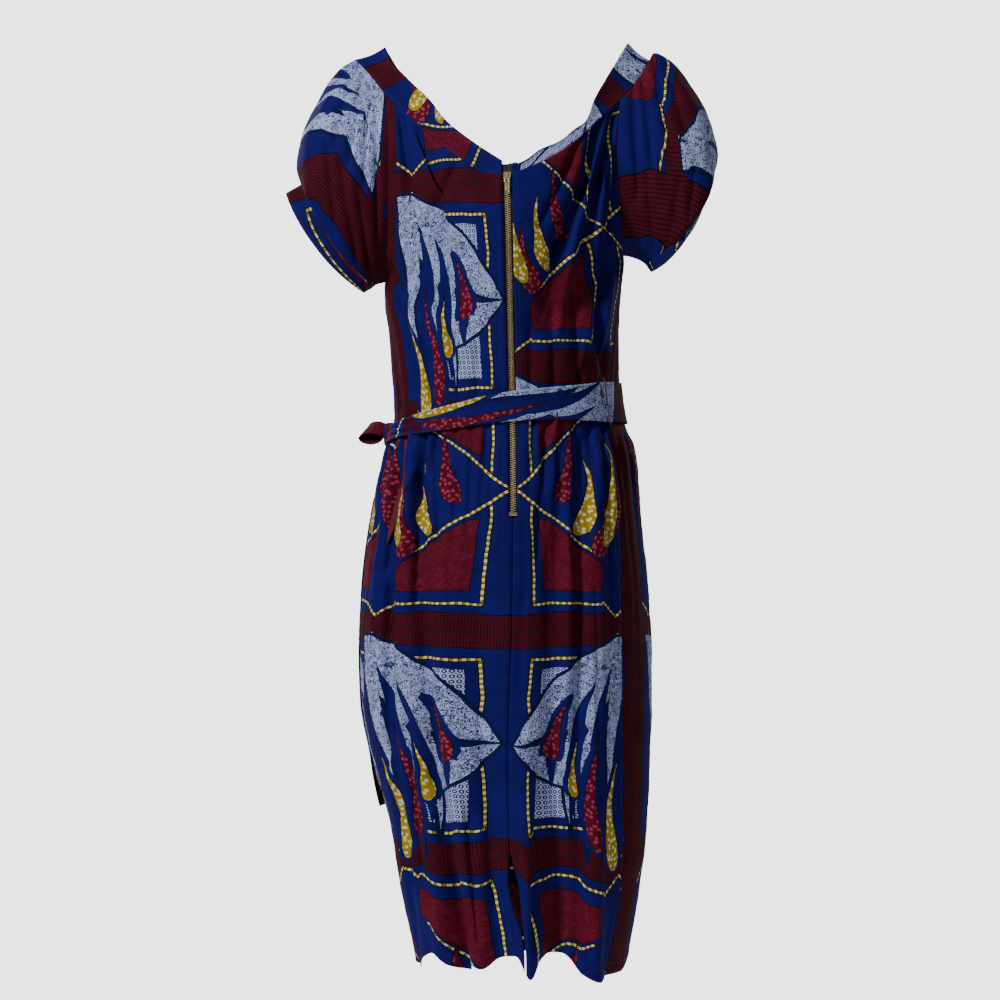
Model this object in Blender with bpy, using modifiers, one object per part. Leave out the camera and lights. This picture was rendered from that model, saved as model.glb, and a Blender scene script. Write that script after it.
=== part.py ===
"""A midi dress of printed cotton: a V neck with a wide band, a front zip, puff sleeves, a sash
and a gathered skirt with side pockets and a front slit. It keeps the hollow form of a worn dress.

Metres, +Z up. The origin is midway between the shoulder tops. -Y is the front of the dress,
"left" is its -X side and "right" its +X side, as someone facing the dress sees them.
"""

import math

import bmesh
import bpy
import numpy as np
from mathutils import Vector

# Cloth and seams.
CLOTH = 0.0016  # thickness of a cloth wall
SEAM = 0.0004  # between two walls that are sewn edge to edge
ROUND_SEAM = 0.0012  # the same where the walls meet at an angle and need room to turn
ARMHOLE_SEAM = 0.0016  # where a sleeve stands off the bodice, clear of its thickness

# Zip.
SLIDER_Z = -0.1825
ZIP_END_Z = -0.6022
ZIP_END_STEP = 0.0028  # below the zip, where the opening closes into a seam
CHAIN_WIDTH = 0.0088
CHAIN_THICK = 0.0024
OPENING_HALF = 0.0052  # from the zip's middle to the cloth's edge
TAPE_WIDTH = 0.0130
TAPE_THICK = 0.0010
TAPE_BEHIND = 0.0021  # from the cloth's middle back to the tape's middle
SLIDER_SIZE = (0.0096, 0.0038, 0.0125)
SLIDER_AHEAD = 0.0008
BRIDGE_WIRE = 0.0007  # radius
BRIDGE_OUT = 0.0030  # how far the bridge stands from the slider's face
BRIDGE_HALF = 0.0036  # half its length
PULL_SIZE = (0.0064, 0.0012, 0.0230)
PULL_SLOT = (0.0030, 0.0062)
PULL_GAP = 0.0004  # between the pull's cross bar and the slider's face
STOP_SIZE = (0.0096, 0.0028, 0.0044)

# Body.
BODY_RADIUS = 0.15  # roughly, to turn lengths along the cloth into degrees
WAIST_Z = -0.473
WAIST_TILT = 0.13  # the waist seam rises towards +X by this share
NECK_Z = -0.1787  # where the bodice's front edges meet the neckband
BACK_FULLNESS = 0.002
BUST_FULLNESS = 0.010

# Sash.
KNOT_ANGLE = -113.0


def table(columns, *rows):
    """A table with named columns, one row for each section, as arrays."""
    return dict(zip(columns.split(), np.array(rows, float).T))


# The body of the dress, level by level: its sides, and how far it reaches to the front and back.
BODY = table(
    "z left right front back",
    (-1.250, -0.106, 0.148, 0.096, 0.098),
    (-1.160, -0.117, 0.157, 0.100, 0.102),
    (-1.080, -0.134, 0.170, 0.104, 0.106),
    (-1.000, -0.147, 0.180, 0.110, 0.112),
    (-0.920, -0.168, 0.184, 0.118, 0.118),
    (-0.840, -0.184, 0.186, 0.124, 0.124),
    (-0.780, -0.186, 0.186, 0.126, 0.126),
    (-0.700, -0.183, 0.182, 0.124, 0.126),
    (-0.600, -0.171, 0.171, 0.118, 0.122),
    (-0.530, -0.156, 0.165, 0.107, 0.110),
    (-0.470, -0.142, 0.148, 0.098, 0.093),
    (-0.420, -0.145, 0.143, 0.102, 0.093),
    (-0.375, -0.148, 0.143, 0.107, 0.095),
    (-0.330, -0.154, 0.145, 0.113, 0.098),
    (-0.250, -0.153, 0.150, 0.122, 0.102),
    (-0.160, -0.153, 0.150, 0.112, 0.098),
)

# The middle of the front, level by level, and how far the slit's edges stand from it.
FRONT_LINE = table(
    "z x slit",
    (-1.200, 0.0240, 0.0008),
    (-1.150, 0.0235, 0.0008),
    (-1.122, 0.0205, 0.0014),
    (-1.090, 0.0135, 0.0050),
    (-1.062, 0.0090, 0.0066),
    (-1.036, 0.0060, 0.0030),
    (-1.010, 0.0036, 0.0),
    (-0.900, 0.0022, 0.0),
    (-0.800, 0.0050, 0.0),
    (-0.700, 0.0075, 0.0),
    (-0.600, 0.0087, 0.0),
    (-0.170, 0.0010, 0.0),
)

# Where the side seams run, in degrees round the body from the front.
SIDE_SEAMS = table(
    "z left right",
    (-1.200, -78, 48),
    (-1.080, -80, 55),
    (-0.920, -79, 51),
    (-0.760, -75, 51),
    (-0.600, -66, 55),
    (-0.520, -64, 52),
    (-0.450, -66, 64),
    (-0.360, -72, 74),
    (-0.290, -86, 86),
)

# The hem of each skirt panel, in degrees round the body.
HEM_FRONT = table(
    "angle z",
    (-90, -1.166),
    (-79, -1.177),
    (-65, -1.160),
    (-52, -1.152),
    (-44, -1.166),
    (-34, -1.173),
    (-27, -1.162),
    (-21, -1.166),
    (-12, -1.153),
    (-3, -1.150),
    (4, -1.178),
    (10, -1.156),
    (24, -1.150),
    (34, -1.176),
    (45, -1.187),
    (53, -1.178),
    (70, -1.178),
)
HEM_BACK = table(
    "angle z",
    (44, -1.180),
    (67, -1.179),
    (90, -1.158),
    (120, -1.168),
    (180, -1.174),
    (240, -1.168),
    (285, -1.172),
)

# Folds of the skirt: side 1 is the front and -1 the back. Each runs down through three places
# across the dress, and is so deep there; less than nothing is a hollow.
FOLDS = table(
    "side x_top x_middle x_hem deep_top deep_middle deep_hem half",
    (1, -0.136, -0.150, -0.112, -0.005, -0.009, -0.004, 0.009),
    (1, -0.114, -0.104, -0.057, -0.010, -0.016, -0.028, 0.011),
    (1, -0.092, -0.078, -0.034, 0.001, 0.006, 0.012, 0.013),
    (1, -0.080, -0.076, -0.085, -0.006, 0.003, 0.005, 0.009),
    (1, -0.030, -0.034, -0.008, 0.0, -0.003, -0.010, 0.011),
    (1, 0.040, 0.020, 0.030, 0.0, 0.001, 0.012, 0.008),
    (1, 0.069, 0.062, 0.060, -0.009, -0.010, -0.034, 0.013),
    (1, 0.083, 0.078, 0.074, 0.002, 0.007, -0.010, 0.009),
    (1, 0.098, 0.091, 0.084, -0.010, -0.012, -0.004, 0.009),
    (1, 0.114, 0.112, 0.112, 0.002, 0.006, 0.008, 0.012),
    (-1, 0.112, 0.125, 0.118, -0.006, -0.010, -0.016, 0.012),
    (-1, 0.070, 0.078, 0.080, -0.007, -0.014, -0.020, 0.013),
    (-1, 0.030, 0.034, 0.036, -0.005, -0.009, -0.014, 0.012),
    (-1, -0.016, -0.014, 0.0, -0.006, -0.012, -0.020, 0.014),
    (-1, -0.062, -0.070, -0.045, -0.006, -0.010, -0.016, 0.012),
    (-1, -0.104, -0.124, -0.084, -0.007, -0.012, -0.014, 0.012),
)
FOLD_LEVELS = (-0.500, -0.760, -1.160)  # top, middle and hem, for the columns above
FOLD_START = 0.040  # below the sash, where the folds have reached their depth

# Gathers of the bodice: hollows that run from one place to another, as shares of a front
# panel's width from the middle and of its height from the waist.
BODICE_FOLDS = table(
    "side across_low along_low across_high along_high deep half",
    (1, 0.26, 0.20, 0.82, 0.97, -0.006, 0.045),
    (1, 0.52, 0.05, 0.86, 0.80, -0.005, 0.040),
    (1, 0.74, 0.02, 0.90, 0.62, -0.004, 0.040),
    (-1, 0.66, 0.02, 0.74, 0.38, -0.004, 0.040),
    (-1, 0.36, 0.62, 0.70, 0.96, -0.005, 0.050),
    (-1, 0.84, 0.40, 0.88, 0.95, -0.004, 0.040),
)

# The neckband's two edges, from the zip's left side over the left shoulder, round the back, over
# the right shoulder and down to the zip's right side. The shoulder tops are at y = 0.
NECK_EDGE = table(
    "x y z",
    (-0.0052, -0.1140, -0.1620),
    (-0.0438, -0.1000, -0.1348),
    (-0.0752, -0.0840, -0.1077),
    (-0.0956, -0.0660, -0.0801),
    (-0.1228, -0.0420, -0.0512),
    (-0.1464, -0.0200, -0.0224),
    (-0.1545, 0.0000, -0.0030),
    (-0.1340, 0.0390, -0.0340),
    (-0.0960, 0.0740, -0.0860),
    (-0.0480, 0.0930, -0.1360),
    (0.0000, 0.0990, -0.1560),
    (0.0480, 0.0930, -0.1360),
    (0.1050, 0.0740, -0.0900),
    (0.1350, 0.0390, -0.0340),
    (0.1561, 0.0000, 0.0025),
    (0.1254, -0.0420, -0.0512),
    (0.1104, -0.0660, -0.0801),
    (0.1000, -0.0790, -0.1071),
    (0.0833, -0.0890, -0.1210),
    (0.0682, -0.0950, -0.1342),
    (0.0407, -0.1055, -0.1479),
    (0.0233, -0.1105, -0.1609),
    (0.0072, -0.1140, -0.1680),
)
BAND_SEAM = table(
    "x y z",
    (-0.0052, -0.1150, NECK_Z),
    (-0.0263, -0.1130, -0.1779),
    (-0.0449, -0.1090, -0.1669),
    (-0.0824, -0.0950, -0.1378),
    (-0.1128, -0.0780, -0.1093),
    (-0.1528, -0.0500, -0.0701),
    (-0.1728, -0.0280, -0.0427),
    (-0.1933, 0.0000, -0.0192),
    (-0.1760, 0.0300, -0.0440),
    (-0.1528, 0.0540, -0.0730),
    (-0.1080, 0.0820, -0.1180),
    (-0.0520, 0.0980, -0.1640),
    (0.0000, 0.1030, -0.1840),
    (0.0520, 0.0980, -0.1640),
    (0.1050, 0.0820, -0.1180),
    (0.1436, 0.0550, -0.0800),
    (0.1660, 0.0300, -0.0540),
    (0.1843, 0.0000, -0.0205),
    (0.1649, -0.0300, -0.0545),
    (0.1436, -0.0520, -0.0781),
    (0.1177, -0.0730, -0.1040),
    (0.0857, -0.0950, -0.1353),
    (0.0481, -0.1090, -0.1607),
    (0.0072, -0.1150, NECK_Z),
)

# The armholes, from the underarm up to the neckband, at the front and at the back.
ARMHOLE_FRONT = {
    -1: table(
        "x y z",
        (-0.1535, -0.0040, -0.3030),
        (-0.1500, -0.0340, -0.2740),
        (-0.1487, -0.0590, -0.2174),
        (-0.1487, -0.0650, -0.1429),
        (-0.1528, -0.0500, -0.0701),
    ),
    1: table(
        "x y z",
        (0.1500, -0.0040, -0.2700),
        (0.1470, -0.0340, -0.2520),
        (0.1430, -0.0600, -0.2060),
        (0.1395, -0.0660, -0.1431),
        (0.1436, -0.0520, -0.0781),
    ),
}
ARMHOLE_BACK = {
    -1: table(
        "x y z",
        (-0.1535, -0.0040, -0.3030),
        (-0.1515, 0.0300, -0.2740),
        (-0.1500, 0.0560, -0.2180),
        (-0.1500, 0.0640, -0.1440),
        (-0.1528, 0.0540, -0.0730),
    ),
    1: table(
        "x y z",
        (0.1500, -0.0040, -0.2700),
        (0.1480, 0.0300, -0.2500),
        (0.1440, 0.0560, -0.2110),
        (0.1420, 0.0640, -0.1440),
        (0.1436, 0.0550, -0.0800),
    ),
}

# Each sleeve, ring by ring from the armhole to the cuff's seam and the cuff's edge. A ring is an
# oval between a point over the arm and a point under it, so deep to the front and back, and its
# sides hang so far past its two ends.
SLEEVE_RINGS = {
    -1: table(
        "along over_x over_z under_x under_z deep hang",
        (0.00, -0.1933, -0.0192, -0.1535, -0.3030, 0.064, 0.000),
        (0.18, -0.2165, -0.0390, -0.1590, -0.3045, 0.068, 0.004),
        (0.38, -0.2410, -0.0765, -0.1635, -0.3060, 0.070, 0.008),
        (0.58, -0.2600, -0.1170, -0.1675, -0.3080, 0.067, 0.012),
        (0.78, -0.2670, -0.1540, -0.1700, -0.3100, 0.056, 0.013),
        (1.00, -0.2620, -0.1790, -0.1715, -0.3110, 0.038, 0.008),
    ),
    1: table(
        "along over_x over_z under_x under_z deep hang",
        (0.00, 0.1843, -0.0205, 0.1500, -0.2700, 0.066, 0.000),
        (0.07, 0.1885, -0.0125, 0.1525, -0.2705, 0.067, 0.002),
        (0.18, 0.2110, -0.0235, 0.1570, -0.2710, 0.070, 0.006),
        (0.38, 0.2380, -0.0570, 0.1630, -0.2725, 0.076, 0.012),
        (0.58, 0.2590, -0.0950, 0.1690, -0.2745, 0.080, 0.018),
        (0.78, 0.2680, -0.1400, 0.1740, -0.2770, 0.078, 0.022),
        (1.00, 0.2570, -0.1850, 0.1790, -0.2800, 0.066, 0.015),
    ),
}
CUFF_EDGE = {
    -1: dict(over=(-0.2815, -0.1905), under=(-0.1820, -0.3170), deep=0.036, hang=0.013),
    1: dict(over=(0.2500, -0.2080), under=(0.1860, -0.2900), deep=0.064, hang=0.010),
}
OVAL_TOP = 0.30  # shares of a sleeve's length by which its armhole edge has become an oval,
OVAL_UNDER = 1.00  # over the arm and under it
CAP_GATHERS = 5
CUFF_GATHERS = 9
GATHER_DEPTH = 0.0030

# The sash round the waist, in degrees from the front: the level of its middle, and its width.
# It starts and ends at the knot.
SASH = table(
    "angle z width",
    (-113, -0.4980, 0.022),
    (-85, -0.4980, 0.022),
    (-60, -0.4900, 0.024),
    (-38, -0.4825, 0.029),
    (0, -0.4665, 0.037),
    (32, -0.4610, 0.043),
    (62, -0.4590, 0.051),
    (90, -0.4590, 0.052),
    (180, -0.4680, 0.050),
    (225, -0.4860, 0.034),
    (247, -0.4980, 0.022),
)
SASH_OUT = 0.0040  # from the middle of the dress's cloth to the middle of the sash's
KNOT_SIZE = (0.026, 0.015, 0.034)  # round the waist, outwards, up
LOOP_HALF = (0.0170, 0.0085)  # half of the loop's length and height
LOOP_WIDTH = 0.030
LOOP_TILT = 35.0
LOOP_RISE = 0.003  # of its middle over the knot's
TAIL_WIDTH = 0.046
TAIL_OUT = 0.0034
TAIL_UNDER_KNOT = 0.0050  # how much further out a tail starts
TAILS = {
    # the angle at the knot and at the end, the length, and how far the end stands off the skirt
    "long": dict(top=-108.5, end=-103.0, length=0.460, stand=0.006),
    "short": dict(top=-117.5, end=-125.0, length=0.330, stand=0.0),
}
CARRIER_ANGLE = 57.0
CARRIER_THREAD = 0.0007  # radius

# Pockets, in the side seams.
POCKET_TOP_Z = -0.500
POCKET_FOOT_Z = -0.660
POCKET_SPAN = 13.0  # degrees forward of the side seam
POCKET_AT_BACK = 0.0030  # how far inside the skirt it lies at its back edge and its front edge
POCKET_INSIDE = 0.0038
MOUTH_TOP_Z = -0.490
MOUTH_FOOT_Z = -0.625
MOUTH_GAPE = 0.0065
MOUTH_SETTLE = 0.040  # from an end of the mouth to its full gape
MOUTH_REACH = 0.027  # how far from the seam the front panel's cloth stands off

BLUE = (0.012, 0.035, 0.180)
CRIMSON = (0.095, 0.006, 0.016)
NAVY = (0.006, 0.008, 0.030)
BRASS = (0.560, 0.380, 0.130)


# Curves and surfaces.


def smooth(at, places, values):
    """A smooth curve through (places, values) that doesn't overshoot, read at the given places."""
    at = np.asarray(at, float)
    step = np.diff(places)
    slope = np.diff(values) / step
    left, right = slope[:-1], slope[1:]
    same_way = left * right > 0
    inner = np.where(
        same_way, 2 * left * right / np.where(same_way, left + right, 1), 0
    )
    tangent = np.concatenate([slope[:1], inner, slope[-1:]])
    i = np.clip(np.searchsorted(places, at) - 1, 0, len(step) - 1)
    t = np.clip((at - places[i]) / step[i], 0, 1)
    low, high = values[i], values[i + 1]
    return (
        low * (1 + 2 * t) * (1 - t) ** 2
        + high * t * t * (3 - 2 * t)
        + tangent[i] * step[i] * t * (1 - t) ** 2
        - tangent[i + 1] * step[i] * t * t * (1 - t)
    )


def read(rows, key, column, at):
    """A column of a table, read smoothly along another column."""
    return smooth(at, rows[key], rows[column])


def points_of(rows):
    """The x, y and z columns of a table as points."""
    return np.stack([rows["x"], rows["y"], rows["z"]], axis=-1)


def line_through(points):
    """A smooth curve through points, as a function of the share of its length, 0 to 1."""
    points = np.asarray(points, float)
    along = np.concatenate([[0], np.cumsum(np.linalg.norm(np.diff(points, axis=0), axis=1))])
    along /= along[-1]

    def curve(share):
        return np.stack([smooth(share, along, points[:, k]) for k in range(3)], axis=-1)

    curve.stops = along
    return curve


def part_of(curve, start, end):
    """The stretch of a curve between two shares of its length."""
    return lambda share: curve(start + (end - start) * np.asarray(share, float))


def one_after_another(*curves_and_ends):
    """Curves joined end to end; each is given with the share of the whole at which it ends."""

    def curve(share):
        share = np.asarray(share, float)
        out = np.zeros(share.shape + (3,))
        start = 0.0
        for piece, end in curves_and_ends:
            here = (share >= start) & (share <= end + 1e-12)
            out[here] = piece((share[here] - start) / (end - start))
            start = end
        return out

    return curve


def patch(low, high, start, end, reach=1):
    """A surface that fills four edges: low and high run across, start and end run up. The higher
    the reach's power, the sooner the shape of the start and end fades towards the middle."""

    def surface(across, along):
        u, v = across[:, None], along[:, None]
        zero, one = np.zeros(1), np.ones(1)
        ruled = (1 - v) * low(across) + v * high(across)
        at_start = start(along) - (1 - v) * low(zero) - v * high(zero)
        at_end = end(along) - (1 - v) * low(one) - v * high(one)
        return ruled + (1 - u) ** reach * at_start + u**reach * at_end

    return surface


def normals_of(surface, across, along, step=1e-4):
    """The unit normals of a surface."""
    across = np.clip(across, step, 1 - step)
    du = surface(across + step, along) - surface(across - step, along)
    dv = surface(across, along + step) - surface(across, along - step)
    normal = np.cross(du, dv)
    return normal / np.linalg.norm(normal, axis=-1)[..., None]


def ramp(value, start, end):
    """0 before start and 1 after end, with a soft turn at both."""
    t = np.clip((np.asarray(value, float) - start) / (end - start), 0, 1)
    return t * t * (3 - 2 * t)


def body(angle, z):
    """A point of the dress's body, before its folds, at an angle in degrees from the front."""
    a = np.radians(angle)
    left, right = read(BODY, "z", "left", z), read(BODY, "z", "right", z)
    front, back = read(BODY, "z", "front", z), read(BODY, "z", "back", z)
    middle, half = (left + right) / 2, (right - left) / 2
    deep = np.where(np.cos(a) > 0, front, back)
    return np.stack([middle + half * np.sin(a), -deep * np.cos(a), z], axis=-1)


def angle_at(x, z, side=1):
    """The angle, in degrees from the front, of the body's point at x."""
    left, right = read(BODY, "z", "left", z), read(BODY, "z", "right", z)
    share = np.clip((x - (left + right) / 2) / ((right - left) / 2), -0.999, 0.999)
    from_front = np.degrees(np.arcsin(share))
    return np.where(np.asarray(side) > 0, from_front, 180 - from_front)


def outwards(angle, z):
    """The body's outward direction, level."""
    ahead, behind = body(angle + 0.5, z), body(angle - 0.5, z)
    tangent = ahead - behind
    normal = np.stack([tangent[..., 1], -tangent[..., 0], np.zeros_like(z)], axis=-1)
    return normal / np.linalg.norm(normal, axis=-1)[..., None]


def sash_level(angle, up=0.0):
    """The level of the sash's middle, or of a place above it as a share of the sash's width."""
    angle = (np.asarray(angle, float) - KNOT_ANGLE) % 360 + KNOT_ANGLE
    return read(SASH, "angle", "z", angle) + up * read(SASH, "angle", "width", angle)


def fold_depth(angle, z):
    """How far the skirt's folds move the cloth outwards. They start below the sash."""
    depth = np.zeros_like(z)
    top = sash_level(angle, -0.5)
    levels = np.array(FOLD_LEVELS)[::-1]
    for i in range(len(FOLDS["side"])):
        fold = {c: FOLDS[c][i] for c in FOLDS}
        x = smooth(z, levels, np.array([fold["x_hem"], fold["x_middle"], fold["x_top"]]))
        deep = smooth(
            z, levels, np.array([fold["deep_hem"], fold["deep_middle"], fold["deep_top"]])
        )
        centre = angle_at(x, z, fold["side"])
        across = np.radians((angle - centre + 180) % 360 - 180)
        radius = np.linalg.norm(body(centre, z)[..., :2], axis=-1)
        depth = depth + deep * np.exp(-((across * radius / fold["half"]) ** 2))
    return depth * ramp(top - z, 0.002, 0.002 + FOLD_START)


def skirt_cloth(angle, z):
    """A point of the skirt's cloth."""
    return body(angle, z) + outwards(angle, z) * fold_depth(angle, z)[..., None]


def waist_z(angle):
    """The level of the waist seam, which tilts with x."""
    x = body(angle, np.full_like(angle, WAIST_Z))[..., 0]
    return WAIST_Z + WAIST_TILT * x


# Making the objects.


def material(name, colour, metallic, roughness):
    made = bpy.data.materials.new(name)
    made.use_nodes = True
    shader = made.node_tree.nodes["Principled BSDF"]
    shader.inputs["Base Color"].default_value = (*colour, 1.0)
    shader.inputs["Metallic"].default_value = metallic
    shader.inputs["Roughness"].default_value = roughness
    return made


def add_object(name, bm, finish):
    mesh = bpy.data.meshes.new(name)
    bm.to_mesh(mesh)
    bm.free()
    mesh.materials.append(finish)
    made = bpy.data.objects.new(name, mesh)
    DRESS.objects.link(made)
    return made


def cloth(name, surface, columns, rows, finish, thick=CLOTH, closed=False):
    """A cloth piece: a flat grid that is laid on a surface and given its thickness."""
    bm = bmesh.new()
    bmesh.ops.create_grid(bm, x_segments=columns, y_segments=rows, size=1.0)
    across = np.array([(v.co.x + 1) / 2 for v in bm.verts])
    along = np.array([(v.co.y + 1) / 2 for v in bm.verts])
    for vert, point in zip(bm.verts, surface(across, along)):
        vert.co = Vector(point)
    if closed:
        bmesh.ops.remove_doubles(bm, verts=bm.verts, dist=1e-5)
    made = add_object(name, bm, finish)
    made.data.shade_smooth()
    wall = made.modifiers.new("wall", "SOLIDIFY")
    wall.thickness = thick
    wall.offset = 0.0
    return made


EDGE_STEP = 0.05  # share of a surface's height that gives its length near an edge


def trimmed(surface, start=0.0, end=0.0, low=0.0, high=0.0):
    """A surface without a share of its width or height at each edge."""

    def shorter(across, along):
        return surface(
            start + across * (1 - start - end),
            low + along * (1 - low - high),
        )

    return shorter


def set_in(surface, low, high):
    """A surface that stops a length short of its low and high edges, square to them."""

    def rate(across, edge, step):
        """The surface's length near an edge, square to it, for a whole height's share."""
        at_edge = np.full_like(across, edge)
        inwards = surface(across, at_edge + step) - surface(across, at_edge)
        run = surface(across + 1e-3, at_edge) - surface(across - 1e-3, at_edge)
        run /= np.linalg.norm(run, axis=1)[:, None]
        inwards -= run * np.sum(inwards * run, axis=1)[:, None]
        return np.linalg.norm(inwards, axis=1) / abs(step)

    def shorter(across, along):
        start = low / rate(across, 0.0, EDGE_STEP)
        end = high / rate(across, 1.0, -EDGE_STEP)
        return surface(across, start + along * (1 - start - end))

    return shorter


# Bodice.

SIDE_ROWS = 5  # rows of a bodice panel below the underarm
ARMHOLE_ROWS = 12  # and beside the armhole, where the sleeve has as many columns
BODICE_ROWS = SIDE_ROWS + ARMHOLE_ROWS
PANEL_WIDE = 0.20  # rough sizes of a bodice panel, for its seam gaps
PANEL_HIGH = 0.30


def side_seam_angle(side, z):
    return read(SIDE_SEAMS, "z", "left" if side < 0 else "right", z)


def waist_side_angle(side):
    """The angle at which a side seam meets the waist."""
    angle = np.array([float(side_seam_angle(side, WAIST_Z))])
    for _ in range(8):
        angle = side_seam_angle(side, waist_z(angle))
    return float(angle[0])


def waist_arc(start, end):
    """The waist seam between two angles."""

    def curve(share):
        angle = start + (end - start) * np.asarray(share, float)
        return body(angle, waist_z(angle))

    return curve


def bodice_side(side, armhole):
    """The side seam from the waist to the underarm, and on up an armhole."""
    underarm = points_of(armhole)[0]
    waist = waist_arc(waist_side_angle(side), 0.0)(np.zeros(1))[0]

    def seam(share):
        share = np.asarray(share, float)
        z = waist[2] + (underarm[2] - waist[2]) * share
        plain = body(side_seam_angle(side, z), z)
        ends = np.array([waist[2], underarm[2]])
        miss = np.stack([waist, underarm]) - body(side_seam_angle(side, ends), ends)
        return plain + (1 - share)[..., None] * miss[0] + share[..., None] * miss[1]

    return one_after_another(
        (seam, SIDE_ROWS / BODICE_ROWS), (line_through(points_of(armhole)), 1.0)
    )


def front_edge_angle(side, z):
    """The angle of a front panel's inner edge, at the zip, the seam below it or the slit."""
    z = np.asarray(z, float)
    half = SEAM / 2 + (OPENING_HALF - SEAM / 2) * np.clip(
        (z - ZIP_END_Z + ZIP_END_STEP) / ZIP_END_STEP, 0, 1
    )
    x = read(FRONT_LINE, "z", "x", z) + side * (half + read(FRONT_LINE, "z", "slit", z))
    return angle_at(x, z)


def front_edge(side):
    """The edge of the zip opening, from the waist up to the neckband."""
    neck = points_of(BAND_SEAM)[0 if side < 0 else -1]
    waist = waist_arc(float(front_edge_angle(side, WAIST_Z)), 0.0)(np.zeros(1))[0]

    def curve(share):
        share = np.asarray(share, float)
        z = waist[2] + (neck[2] - waist[2]) * share
        ends = np.array([waist[2], neck[2]])
        miss = np.stack([waist, neck]) - body(front_edge_angle(side, ends), ends)
        plain = body(front_edge_angle(side, z), z)
        return plain + (1 - share)[..., None] * miss[0] + share[..., None] * miss[1]

    return curve


def share_at(rows, joint):
    """The share of an edge's length at the row that lies nearest to a joint."""
    nearest = int(np.argmin(np.linalg.norm(points_of(rows) - joint, axis=1)))
    return float(line_through(points_of(rows)).stops[nearest])


def shoulder(rows, side):
    """The share of a neckband edge's length at a shoulder top."""
    tops = [place for place in points_of(rows) if place[1] == 0 and place[0] * side > 0]
    return share_at(rows, tops[0])


def seam_of_band(side, armholes):
    """The share of the band's seam at which a sleeve starts, at the front or the back."""
    return share_at(BAND_SEAM, points_of(armholes[side])[-1])


ON_BODY = (0.16, 0.38)  # shares of the bodice's height: on the dress's body below, free above


def close_to_waist(plain, start, end, start_angle, end_angle):
    """A bodice panel's surface, which near the waist lies on the dress's body, as the sash does."""

    def surface(across, along):
        points = plain(across, along)
        first = start_angle(start(along)[:, 2])
        last = end_angle(end(along)[:, 2])
        level = body(first + (last - first) * across, points[:, 2])
        free = ramp(along, *ON_BODY)[:, None]
        return points * free + level * (1 - free)

    return surface


def bodice_front(side):
    """The surface of a bodice front, from the zip to the side and from the waist to the neck."""
    low = waist_arc(float(front_edge_angle(side, WAIST_Z)), waist_side_angle(side))
    zip_end = 0.0 if side < 0 else 1.0
    high = part_of(line_through(points_of(BAND_SEAM)), zip_end, seam_of_band(side, ARMHOLE_FRONT))
    inner = front_edge(side)
    outer = bodice_side(side, ARMHOLE_FRONT[side])
    plain = close_to_waist(
        patch(low, high, inner, outer),
        inner,
        outer,
        lambda z: front_edge_angle(side, z),
        lambda z: side_seam_angle(side, z),
    )

    def surface(across, along):
        out = -side * normals_of(plain, across, along)
        edge = np.clip(along / 0.08, 0, 1) * np.clip((1 - along) / 0.08, 0, 1)
        edge *= np.clip(across / 0.10, 0, 1) * np.clip((1 - across) / 0.08, 0, 1)
        bust = BUST_FULLNESS * np.exp(
            -(((across - 0.48) / 0.26) ** 2) - ((along - 0.62) / 0.24) ** 2
        )
        depth = edge * (bust + bodice_folds(side, across, along))
        return plain(across, along) + out * depth[:, None]

    return surface


def bodice_folds(side, across, along):
    """How far the bodice's gathers move a front panel's cloth outwards."""
    depth = np.zeros_like(across)
    for i in np.flatnonzero(BODICE_FOLDS["side"] == side):
        fold = {c: BODICE_FOLDS[c][i] for c in BODICE_FOLDS}
        rise = fold["along_high"] - fold["along_low"]
        run = fold["across_high"] - fold["across_low"]
        share = (along - fold["along_low"]) / rise
        beside = across - (fold["across_low"] + run * share)
        fade = np.clip(np.minimum(share, 1 - share) / 0.25 + 0.35, 0, 1)
        depth += fold["deep"] * fade * np.exp(-((beside / fold["half"]) ** 2))
    return depth


def bodice_back(across, along):
    """The surface of the bodice's back, from the right side seam round to the left one."""
    seam = line_through(points_of(BAND_SEAM))
    right = bodice_side(1, ARMHOLE_BACK[1])
    left = bodice_side(-1, ARMHOLE_BACK[-1])
    plain = close_to_waist(
        patch(
            waist_arc(waist_side_angle(1), waist_side_angle(-1) + 360),
            part_of(seam, seam_of_band(1, ARMHOLE_BACK), seam_of_band(-1, ARMHOLE_BACK)),
            right,
            left,
            reach=2.5,
        ),
        right,
        left,
        lambda z: side_seam_angle(1, z),
        lambda z: side_seam_angle(-1, z) + 360,
    )
    full = BACK_FULLNESS * ramp(along, 0.12, 0.5) * np.sin(math.pi * along)
    full = full * np.sin(math.pi * across) ** 2
    return plain(across, along) + np.stack([0 * full, full, 0 * full], axis=-1)


def make_bodice(printed):
    rise = SEAM / PANEL_HIGH
    seam = SEAM / PANEL_WIDE
    for side, name in ((-1, "left"), (1, "right")):
        surface = trimmed(bodice_front(side), end=seam, low=rise / 2, high=rise)
        cloth(f"bodice_front_{name}", surface, 12, BODICE_ROWS, printed)
    surface = trimmed(bodice_back, seam / 2, seam / 2, rise / 2, rise)
    cloth("bodice_back", surface, 20, BODICE_ROWS, printed)


# Neckband.

BAND_CROWN = 0.002
BAND_WIDE = 0.032
BAND_LONG = 0.26


def band(seam, neck_edge, crown):
    """A strip between the band's seam and its free edge, a little rounded across its width."""

    def ruled(across, along):
        return seam(across) * (1 - along)[:, None] + neck_edge(across) * along[:, None]

    def surface(across, along):
        out = normals_of(ruled, across, along)
        width = np.linalg.norm(neck_edge(across) - seam(across), axis=1)
        rise = crown * width / BAND_WIDE * np.sin(math.pi * along)
        return ruled(across, along) + out * rise[:, None]

    return surface


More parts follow.
